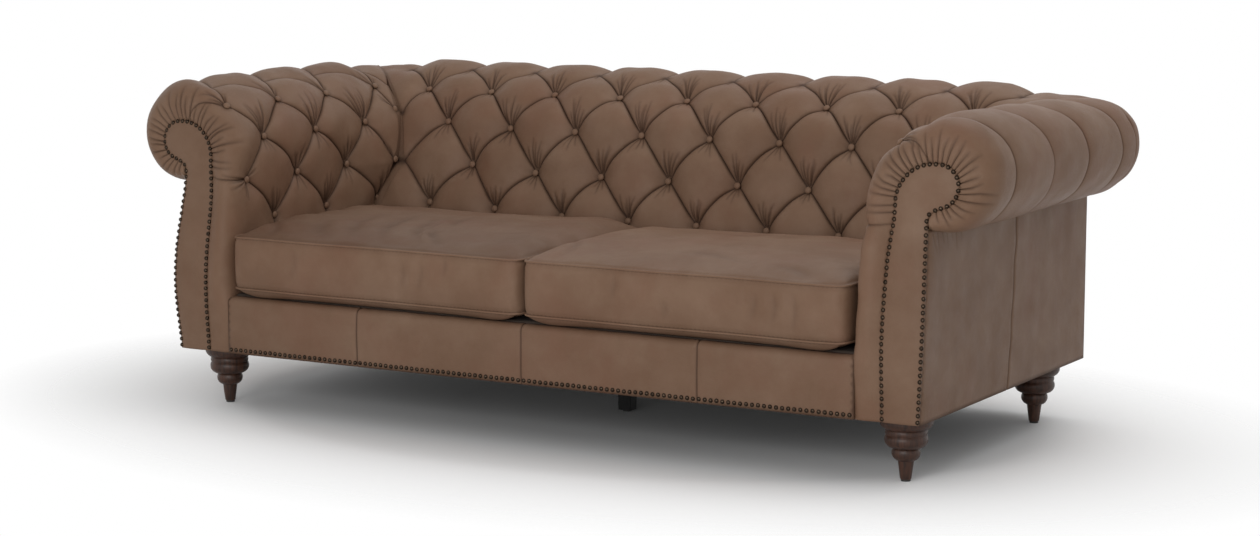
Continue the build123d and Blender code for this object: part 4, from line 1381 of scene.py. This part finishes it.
def rail_place(flat, depth):
    point, out = rail_line.at(flat[:, 1])
    point = point - out * depth[:, None]
    return np.stack([flat[:, 0], point[:, 0], point[:, 1]], 1)


rail_seams = upright_seams((-0.450, 0.0, 0.450), 0.001, rail_line.length - 0.001)
rail_outline = rectangle(-rail_half, 0, rail_half, rail_line.length)
name, slot, node = "front_rail_leather", "rail_leather", "front_border"
panel(name, rail_outline, rail_place, rail_seams, 0.003, slot, node, 41, thick=0.012)


def side_place(flat, depth):
    """Right outside arm: it spreads with the pillar in front and turns in under the nails."""
    behind = flat[:, 0] - facing_at(flat[:, 1])
    spread = pillar_spread * swell_at(flat[:, 1]) * np.clip(1 - behind / 0.14, 0, 1) ** 2
    turned = 0.006 * np.exp(-np.clip(behind, 0, None) / 0.007)
    return np.stack([panel_x + spread - turned - depth, flat[:, 0], flat[:, 1]], 1)


def rear_place(flat, depth):
    return np.stack([flat[:, 0], panel_y - depth, flat[:, 1]], 1)


under_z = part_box("outside_arm_right")[1].z
side_outline = [(facing_y + 0.001, foot), (panel_y, foot), (panel_y, under_z + 0.020), (0.425, under_z + 0.006)]
side_outline += [(0.387, under_z + 0.007), (float(facing_at(under_z)) + 0.001, under_z + 0.009)]
side_outline += [(float(facing_at(z)) + 0.001, z) for z in np.linspace(under_z, foot + 0.02, 24)]
corner = np.array([float(facing_at(under_z)) + 0.004, under_z])
side_seams = [[(-0.019, foot + 0.001), (0.018, under_z)]]
for side in ("right", "left"):
    left = side == "left"
    puckers = []
    for k in range(7):
        start = corner + [0.014 + 0.024 * k, 0.004]
        way = np.array([0.25 + chance.normal(0, 0.12), -1.0])
        puckers.append((np.array([start, start + way * chance.uniform(0.025, 0.060)]), 0.0016, 0.0036))
    name, slot, node = f"outside_arm_leather_{side}", "panel_leather", f"outside_arm_{side}"
    panel(name, side_outline, side_place, side_seams, 0.0025, slot, node, 43 + left, puckers, left=left)
rear_outline = rectangle(-panel_x, foot, panel_x, under_z + 0.0215)
rear_seams = upright_seams((-0.480, 0.480), foot + 0.001, under_z + 0.021)
panel("outside_back_leather", rear_outline, rear_place, rear_seams, 0.0025, "panel_leather", "outside_back", 47)

# %% [markdown]
# ## The deck and the dust cover
# Under the cushions a padded deck of plain cloth carries them, sewn to the leather lip in front. A
# thin black cloth is tacked under the frame and sags a little between its tacks.

# %% Deck and dust cover
def level_at(z):
    """A place function for a flat level sheet."""
    return lambda flat, depth: np.stack([flat[:, 0], flat[:, 1], z - depth], 1)


deck_low, deck_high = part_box("seat_deck")
deck_outline = rectangle(deck_low.x, deck_low.y + 0.002, deck_high.x, deck_high.y)
lip_seam_y = -0.34
lip_seam = np.array([(deck_low.x, lip_seam_y), (deck_high.x, lip_seam_y)])
flat, faces = net(deck_outline, [lip_seam + [(0.001, 0), (-0.001, 0)]], spacing=0.016)
edge = to_path(flat, closed(deck_outline), 0.12)[0]
sunk, painted_shade = seam_depth(flat, [lip_seam])
depth = 0.004 - 0.004 * domed(edge, 0.12) + sunk + rumple(flat, 0.16, 0.0010, 51)
deck = pad("deck_cover", flat, faces, level_at(deck_high.z), depth, 0.018, deck_cloth, "deck_cloth", painted_shade)
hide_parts("seat_deck")

dust_low, dust_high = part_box("dust_cover")
dust_outline = rectangle(dust_low.x, dust_low.y, dust_high.x, dust_high.y)
flat, faces = net(dust_outline, spacing=0.02)
edge = to_path(flat, closed(dust_outline), 0.10)[0]
sag = 0.0008 + 0.0022 * domed(edge, 0.10) + rumple(flat, 0.2, 0.0004, 52) * edge / 0.10
dust = pad("dust_cloth", flat, faces, level_at(dust_high.z), sag, 0.0001, dust_cloth, "dust_cloth")
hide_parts("dust_cover")
print("deck and dust cover made")

# %% [markdown]
# ## Seat cushions
# Each seat is a loose box cushion: a top and a bottom panel with a band sewn between them, and a welt
# in both seams. It starts as a closed shell of quads: a crowned top, a belly that hangs below the lower
# seam and lies flat on the deck, and a slightly round band. A cloth simulation then pushes from inside
# with gravity off and the seams pinned. The panels are cut a little large, so they pucker along the
# seams. Only the puckers are kept, because firm foam holds the crown at its own height.


# %% Cushion box
def ring_way(ring):
    """Unit directions along a closed ring of points."""
    way = np.roll(ring, -1, axis=0) - np.roll(ring, 1, axis=0)
    return way / np.linalg.norm(way, axis=1)[:, None]


def outward(ring):
    """Level unit vectors square to a ring, to the right of the way along it."""
    way = ring_way(ring[:, :2])
    return np.stack([way[:, 1], -way[:, 0]], 1)


def cushion_rows(length, fine=(0.0, 0.003, 0.007, 0.013), step=0.0105):
    """Places along one side: close rows at both ends for the seams, even rows between."""
    count = max(2, int(round((length - 2 * fine[-1]) / step)))
    middle = np.linspace(fine[-1], length - fine[-1], count + 1)
    return np.concatenate([fine[:-1], middle, length - np.array(fine[:-1])[::-1]])


def rounded(flat, low_side, high_side, radius):
    """Draw the corners of a rectangular grid in to arcs."""
    centre, half = (low_side + high_side) / 2, (high_side - low_side) / 2
    over = np.abs(flat - centre) - (half - radius)
    corner = np.all(over > 0, axis=1)
    largest = np.maximum(over.max(1), 1e-9)
    length = np.maximum(np.linalg.norm(over, axis=1), 1e-9)
    drawn = over * (largest / length)[:, None]
    result = flat.copy()
    result[corner] = (centre + np.sign(flat - centre) * (half - radius + drawn))[corner]
    return result


def cushion_shell(low_corner, high_corner, radius, crown, belly, bulge, tilt):
    """Points and quads of the shell, with the rings of point numbers where its two seams run."""
    xs, ys = [low_corner[k] + cushion_rows(high_corner[k] - low_corner[k]) for k in (0, 1)]
    nx, ny = len(xs), len(ys)
    flat = np.array([(x, y) for y in ys for x in xs])
    aside = np.minimum(flat[:, 0] - low_corner[0], high_corner[0] - flat[:, 0])
    ahead, behind = flat[:, 1] - low_corner[1], high_corner[1] - flat[:, 1]
    rise = crown * risen(aside, 0.018) * risen(ahead, 0.060) * risen(behind, 0.060)
    tilted = np.interp(flat[:, 0], *tilt) * np.exp(-behind / 0.12)
    rise += tilted * risen(behind, 0.03) * risen(aside, 0.018)
    hang = belly * risen(aside, 0.026) * risen(np.minimum(ahead, behind), 0.006)
    flat = rounded(flat, np.array(low_corner[:2]), np.array(high_corner[:2]), radius)
    number = np.arange(nx * ny).reshape(ny, nx)
    ring = [*number[0, :-1], *number[:-1, -1], *number[-1, :0:-1], *number[:0:-1, 0]]
    zs = high_corner[2] - cushion_rows(high_corner[2] - low_corner[2])
    bottom = nx * ny
    points = [np.column_stack([flat, high_corner[2] + rise]), np.column_stack([flat, low_corner[2] - hang])]
    faces = []
    for j in range(ny - 1):
        for i in range(nx - 1):
            a, b, c, d = number[j, i], number[j, i + 1], number[j + 1, i + 1], number[j + 1, i]
            faces += [(a, b, c, d), (a + bottom, d + bottom, c + bottom, b + bottom)]
    rows = [list(ring)]
    start = 2 * bottom
    out = outward(flat[ring])
    for z in zs[1:-1]:
        t = (z - low_corner[2]) / (high_corner[2] - low_corner[2])
        proud = out * np.array(bulge) * (4 * t * (1 - t)) ** 0.6
        points.append(np.column_stack([flat[ring] + proud, np.full(len(ring), z)]))
        rows.append(list(range(start, start + len(ring))))
        start += len(ring)
    rows.append([n + bottom for n in ring])
    for upper, lower in zip(rows, rows[1:]):
        for k in range(len(ring)):
            m = (k + 1) % len(ring)
            faces.append((upper[k], lower[k], lower[m], upper[m]))
    return np.vstack(points), [tuple(int(n) for n in f) for f in faces], rows, (ny, nx)


# %% Filling
def evened(field, reach=6):
    """A grid of moves, each averaged with its neighbours."""
    for axis in (0, 1):
        sides = [(reach, reach) if k == axis else (0, 0) for k in range(field.ndim)]
        wide = np.pad(field, sides, mode="edge")
        count = field.shape[axis]
        shifts = range(2 * reach + 1)
        field = sum(np.take(wide, np.arange(k, k + count), axis) for k in shifts) / len(shifts)
    return field


cloth_frames = 20
most_swell = 0.026
cloth_ways = {
    "use_pressure": True,
    "uniform_pressure_force": 4.0,
    "quality": 5,
    "mass": 0.3,
    "tension_stiffness": 18,
    "compression_stiffness": 18,
    "shear_stiffness": 6,
    "bending_stiffness": 1.5,
    "shrink_min": 0.0,
    "shrink_max": -0.022,
    "vertex_group_shrink": "panels",
    "vertex_group_mass": "seams",
}


def move(made, points):
    """Put the points of an object in new places."""
    made.data.vertices.foreach_set("co", points.ravel())
    made.data.update()


def filled(made, rows, grid):
    """Swell a cushion by cloth simulation, with its movement capped, and keep the puckers it makes."""
    active(made)
    start = read(made)
    flat_count = grid[0] * grid[1]
    seams = [int(n) for n in rows[0] + rows[-1]]
    made.vertex_groups.new(name="panels").add(list(range(2 * flat_count)), 1.0, "REPLACE")
    made.vertex_groups.new(name="seams").add(seams, 1.0, "REPLACE")
    swell = made.modifiers.new("cloth", "CLOTH")
    for key, value in cloth_ways.items():
        setattr(swell.settings, key, value)
    swell.settings.effector_weights.gravity = 0
    swell.collision_settings.use_collision = False
    swell.point_cache.frame_start, swell.point_cache.frame_end = 1, cloth_frames
    scene = bpy.context.scene
    for number in range(1, cloth_frames + 1):
        scene.frame_set(number)
    bpy.ops.object.modifier_apply(modifier="cloth")
    scene.frame_set(1)
    moved = read(made) - start
    far = np.linalg.norm(moved, axis=1)
    print(made.name, "swelled by up to", round(float(far.max()), 4))
    moved *= np.minimum(1, most_swell / np.maximum(far, 1e-9))[:, None]
    for first in (0, flat_count):
        face = moved[first : first + flat_count].reshape(*grid, 3)
        moved[first : first + flat_count] = (face - evened(face)).reshape(-1, 3)
    band = np.array(rows[1:-1])
    moved[band] -= evened(moved[band])
    moved[seams] = 0
    print("puckers up to", round(float(np.linalg.norm(moved, axis=1).max()), 4))
    move(made, start + moved)


def tube(path, radius, sides=8):
    """Points and faces of a round cord on a closed ring of points."""
    way = ring_way(path)
    up = np.tile([0.0, 0.0, 1.0], (len(path), 1))
    across = np.cross(way, up)
    across /= np.linalg.norm(across, axis=1)[:, None]
    up = np.cross(across, way)
    angles = np.linspace(0, 2 * math.pi, sides, endpoint=False)
    points = np.concatenate([path + radius * (across * math.cos(a) + up * math.sin(a)) for a in angles])
    n = len(path)
    faces = [
        (k * n + i, k * n + (i + 1) % n, (k + 1) % sides * n + (i + 1) % n, (k + 1) % sides * n + i)
        for k in range(sides)
        for i in range(n)
    ]
    return points, faces


# %% Cushions
def creased(flat, lines):
    """Height of soft folds at points of a plane. A fold is (start, end, width, height), all in mm."""
    total = np.zeros(len(flat))
    for line in lines:
        line = np.array(line) / 1000
        start, end, (width, height) = line[:2], line[2:4], line[4:]
        way = end - start
        t = np.clip((flat - start) @ way / (way @ way), 0, 1)
        sway = 0.10 * np.linalg.norm(way) * np.sin(math.pi * t)
        side = np.array([-way[1], way[0]]) / np.linalg.norm(way)
        gap = flat - start - t[:, None] * way
        along = np.linalg.norm(gap, axis=1) < np.abs(gap @ side) + 0.002
        total += height * bell(gap @ side - sway, width) * np.sin(math.pi * t) * along
    return total


lip_y, lip_drop = -0.470, 0.0085
crown_tilt = {
    "left": ([0.0, 0.20, 0.62, 0.80], [0.010, 0.012, 0.0, 0.0]),
    "right": ([0.0, 0.04, 0.56, 0.80], [-0.010, -0.009, 0.012, 0.012]),
}
top_folds = {
    "left": [
        (-226, -470, -395, -215, 12, -3.4), (-262, -480, -360, -270, 10, 2.6),
        (-300, -455, -421, -152, 14, -3), (-397, -466, -491, -143, 16, -2.6),
        (-482, -460, -584, -196, 18, -2.2), (-312, -300, -357, -115, 13, -2.4),
        (-541, -480, -660, -300, 20, -2), (-790, -370, -700, -490, 14, -2.6),
    ],
    "right": [
        (735, -40, 780, -440, 18, -3.4), (30, -306, 90, -470, 14, -2.6),
        (590, -421, 719, -480, 16, -2.4), (300, -371, 568, -433, 22, -2.2),
        (278, -108, 503, -73, 22, -2.2), (130, -300, 230, -440, 18, 1.8),
    ],
}
band_folds = {
    "left": [
        (-315, 406, -322, 330, 7, -1.6), (-285, 402, -304, 326, 7.5, 1.5),
        (-262, 404, -274, 335, 6.5, -1.6), (-236, 408, -249, 335, 7, 1.4),
        (-200, 422, -203, 370, 6, -1.8), (-626, 415, -631, 330, 10, -1.2),
    ],
    "right": [
        (245, 420, 239, 350, 8, -1.4), (554, 412, 549, 340, 7.5, 1.3),
        (594, 402, 583, 335, 8, -1.6), (616, 405, 608, 340, 7, 1.4),
        (639, 402, 634, 330, 6.5, -1.8), (660, 405, 653, 330, 6, 1.4),
        (684, 408, 682, 318, 6, -1.7), (375, 366, 369, 322, 9, -1.4),
    ],
}


def near_rings(points, seams):
    """Distance of each point to the nearer seam."""
    near = np.full(len(points), 1.0)
    for seam in seams:
        for start in range(0, len(points), 4000):
            block = points[start : start + 4000]
            gap = np.linalg.norm(block[:, None] - seam[None], axis=2).min(1)
            near[start : start + 4000] = np.minimum(near[start : start + 4000], gap)
    return near


def make_cushion(side):
    low_box, high_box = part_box(f"seat_cushion_{side}")
    mirror = side == "left"
    inner, outer = sorted((abs(low_box.x), abs(high_box.x)))
    points, faces, rows, grid = cushion_shell(
        (inner + 0.0018, low_box.y + 0.006, low_box.z + 0.0157),
        (outer - 0.002, high_box.y - 0.003, high_box.z - 0.008),
        radius=0.030,
        crown=0.033,
        belly=0.0245,
        bulge=(0.0015, 0.0060),
        tilt=crown_tilt[side],
    )
    body = f"cushion_{side}"
    made = piece(f"seat_cushion_leather_{side}", points, faces, hide, "cushion_leather", body, left=mirror)
    filled(made, rows, grid)
    active(made)
    smooth = made.modifiers.new("smooth", "SUBSURF")
    smooth.levels = smooth.render_levels = 1
    bpy.ops.object.modifier_apply(modifier="smooth")
    co = read(made)
    rest = low_box.z + 0.0002 - lip_drop * np.clip((lip_y - co[:, 1]) / 0.018, 0, 1)
    co[:, 2] = np.maximum(co[:, 2], rest)
    co[:, 2] += rumple(co[:, :2], 0.34, 0.0015, 71 + mirror) * np.clip((co[:, 2] - rest) / 0.020, 0, 1)
    seams = [co[rows[0]], co[rows[-1]]]
    near = near_rings(co, seams)
    top_lines, band_lines = creased(co[:, :2], top_folds[side]), creased(co[:, [0, 2]], band_folds[side])
    move(made, co)
    normals = read(made, "normal")
    on_top = np.clip((normals[:, 2] - 0.30) / 0.35, 0, 1)
    on_band = np.clip((-normals[:, 1] - 0.80) / 0.12, 0, 1)
    lift = (rumple(co[:, :2], 0.16, 0.0022, 61 + mirror) + 1.7 * top_lines) * on_top
    lift += (rumple(co[:, [0, 2]], 0.10, 0.0010, 65 + mirror) + 1.7 * band_lines) * on_band
    behind_lip = np.clip(co[:, 1] - low_box.y - 0.006, 0, None)
    # Painted shade: dark along both seams, on faces that turn down under the belly, in the top and band folds,
    # over the front of the top, and more over the whole top of the left cushion.
    lip_shade, shade = (0.22, 0.13) if mirror else (0.10, 0.0)
    dark = 0.70 * bell(near, 0.0036) + 0.26 * np.clip(-normals[:, 2] / 0.6, 0, 1)
    dark += 0.20 * np.clip(-top_lines / 0.0030, 0, 1) * on_top
    dark += (lip_shade * np.exp(-behind_lip / 0.18) + shade) * on_top
    dark += 0.16 * np.clip(-band_lines / 0.0016, 0, 1) * on_band
    write_painted_shade(made.data, np.clip(dark, 0, 1))
    groove = -0.0018 * bell(near - 0.0065, 0.0040) * (normals[:, 2] > -0.5)
    move(made, co + normals * (lift * np.clip(near / 0.022, 0, 1) + groove)[:, None])
    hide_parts(f"seat_cushion_{side}")
    for place, seam in zip(("top", "bottom"), seams):
        out = outward(seam) * (-1 if mirror else 1)
        cord, cord_faces = tube(seam + 0.0012 * np.column_stack([out, np.zeros(len(out))]), 0.0025)
        name = f"cushion_welt_{place}_{side}"
        piece(name, cord, cord_faces, hide, "cushion_leather", body, painted_shade=np.zeros(len(cord)))
    print(made.name, len(made.data.polygons), "faces, top at", round(float(read(made)[:, 2].max()), 4))


for side in ("right", "left"):
    make_cushion(side)

# %% [markdown]
# ## Finishes of the frame
# The legs, the boards, the rails and the fittings keep their own shapes. Only their materials change:
# each takes the finish of its slot.

# %% Slots
finishes = {
    "arm_leather": hide,
    "back_leather": hide,
    "arm_border_leather": hide,
    "arm_facing_leather": hide_panel,
    "cushion_leather": hide,
    "panel_leather": hide_panel,
    "rail_leather": hide_panel,
    "deck_cloth": deck_cloth,
    "dust_cloth": dust_cloth,
    "webbing": jute,
    "walnut": walnut,
    "black_wood": black_wood,
    "glide": glide_nylon,
    "zinc_steel": zinc_steel,
    "liner_board": liner_board,
    "plywood": plywood,
    "beech": beech,
}
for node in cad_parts.values():
    for place in node.material_slots:
        place.material = finishes[place.material.name.split(".")[0]]
print(len(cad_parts), "nodes finished")

# %% [markdown]
# ## Floor and light
# The floor is a wide pale sheet that carries the shadow and fades out to the white world far off. Its
# colour is darker under the sofa, a painted shadow. Two large soft lamps and the white world light the
# sofa at a level at which colours come out as written.

# %% Floor
bpy.ops.object.select_all(action="DESELECT")
bpy.ops.mesh.primitive_circle_add(vertices=96, radius=9.0, fill_type="NGON", location=(0, 0, -0.0004))
floor = bpy.context.object
floor.name = "floor"
s = Shader("floor")
far = s.node("ShaderNodeVectorMath", {"operation": "LENGTH"}, {0: s.stretched((0.66, 0.95, 1.0))}, 1)
# Painted shadow: the floor's colour is 0.60 under the sofa and rises to 0.95 further out.
tone = s.mix((0.60, 0.60, 0.60, 1), (0.95, 0.95, 0.95, 1), ((far - 0.30) * 2.4).clamp())
pale = s.node("ShaderNodeBsdfDiffuse", None, {"Color": tone})
clear = s.node("ShaderNodeBsdfTransparent", None, {"Color": (1, 1, 1, 1)})
fade = s.node("ShaderNodeMixShader", None, {0: ((far - 0.66) * 2.0).clamp() * s.seen(), 1: pale, 2: clear})
floor.data.materials.append(s.ends_in(fade))

# %% Light
world = bpy.data.worlds.new("studio")
bpy.context.scene.world = world
s = Shader("studio", world, "ShaderNodeOutputWorld")
sky = s.node("ShaderNodeBackground", None, {"Color": (1, 1, 1, 1), "Strength": 0.46 + s.seen() * 0.54})
s.ends_in(sky)


def lamp(name, place, target, size, power):
    data = bpy.data.lights.new(name, "AREA")
    data.shape = "RECTANGLE"
    data.size, data.size_y = size
    data.energy = power
    made = bpy.data.objects.new(name, data)
    made.location = place
    made.rotation_euler = (Vector(target) - Vector(place)).to_track_quat("-Z", "Y").to_euler()
    bpy.context.scene.collection.objects.link(made)


lamp("key", (0.9, 0.9, 3.3), (0, -0.1, 0.3), (3.0, 2.2), 43)
lamp("front", (0.9, -4.6, 1.5), (0, 0, 0.5), (3.4, 1.8), 85)
print("lit")
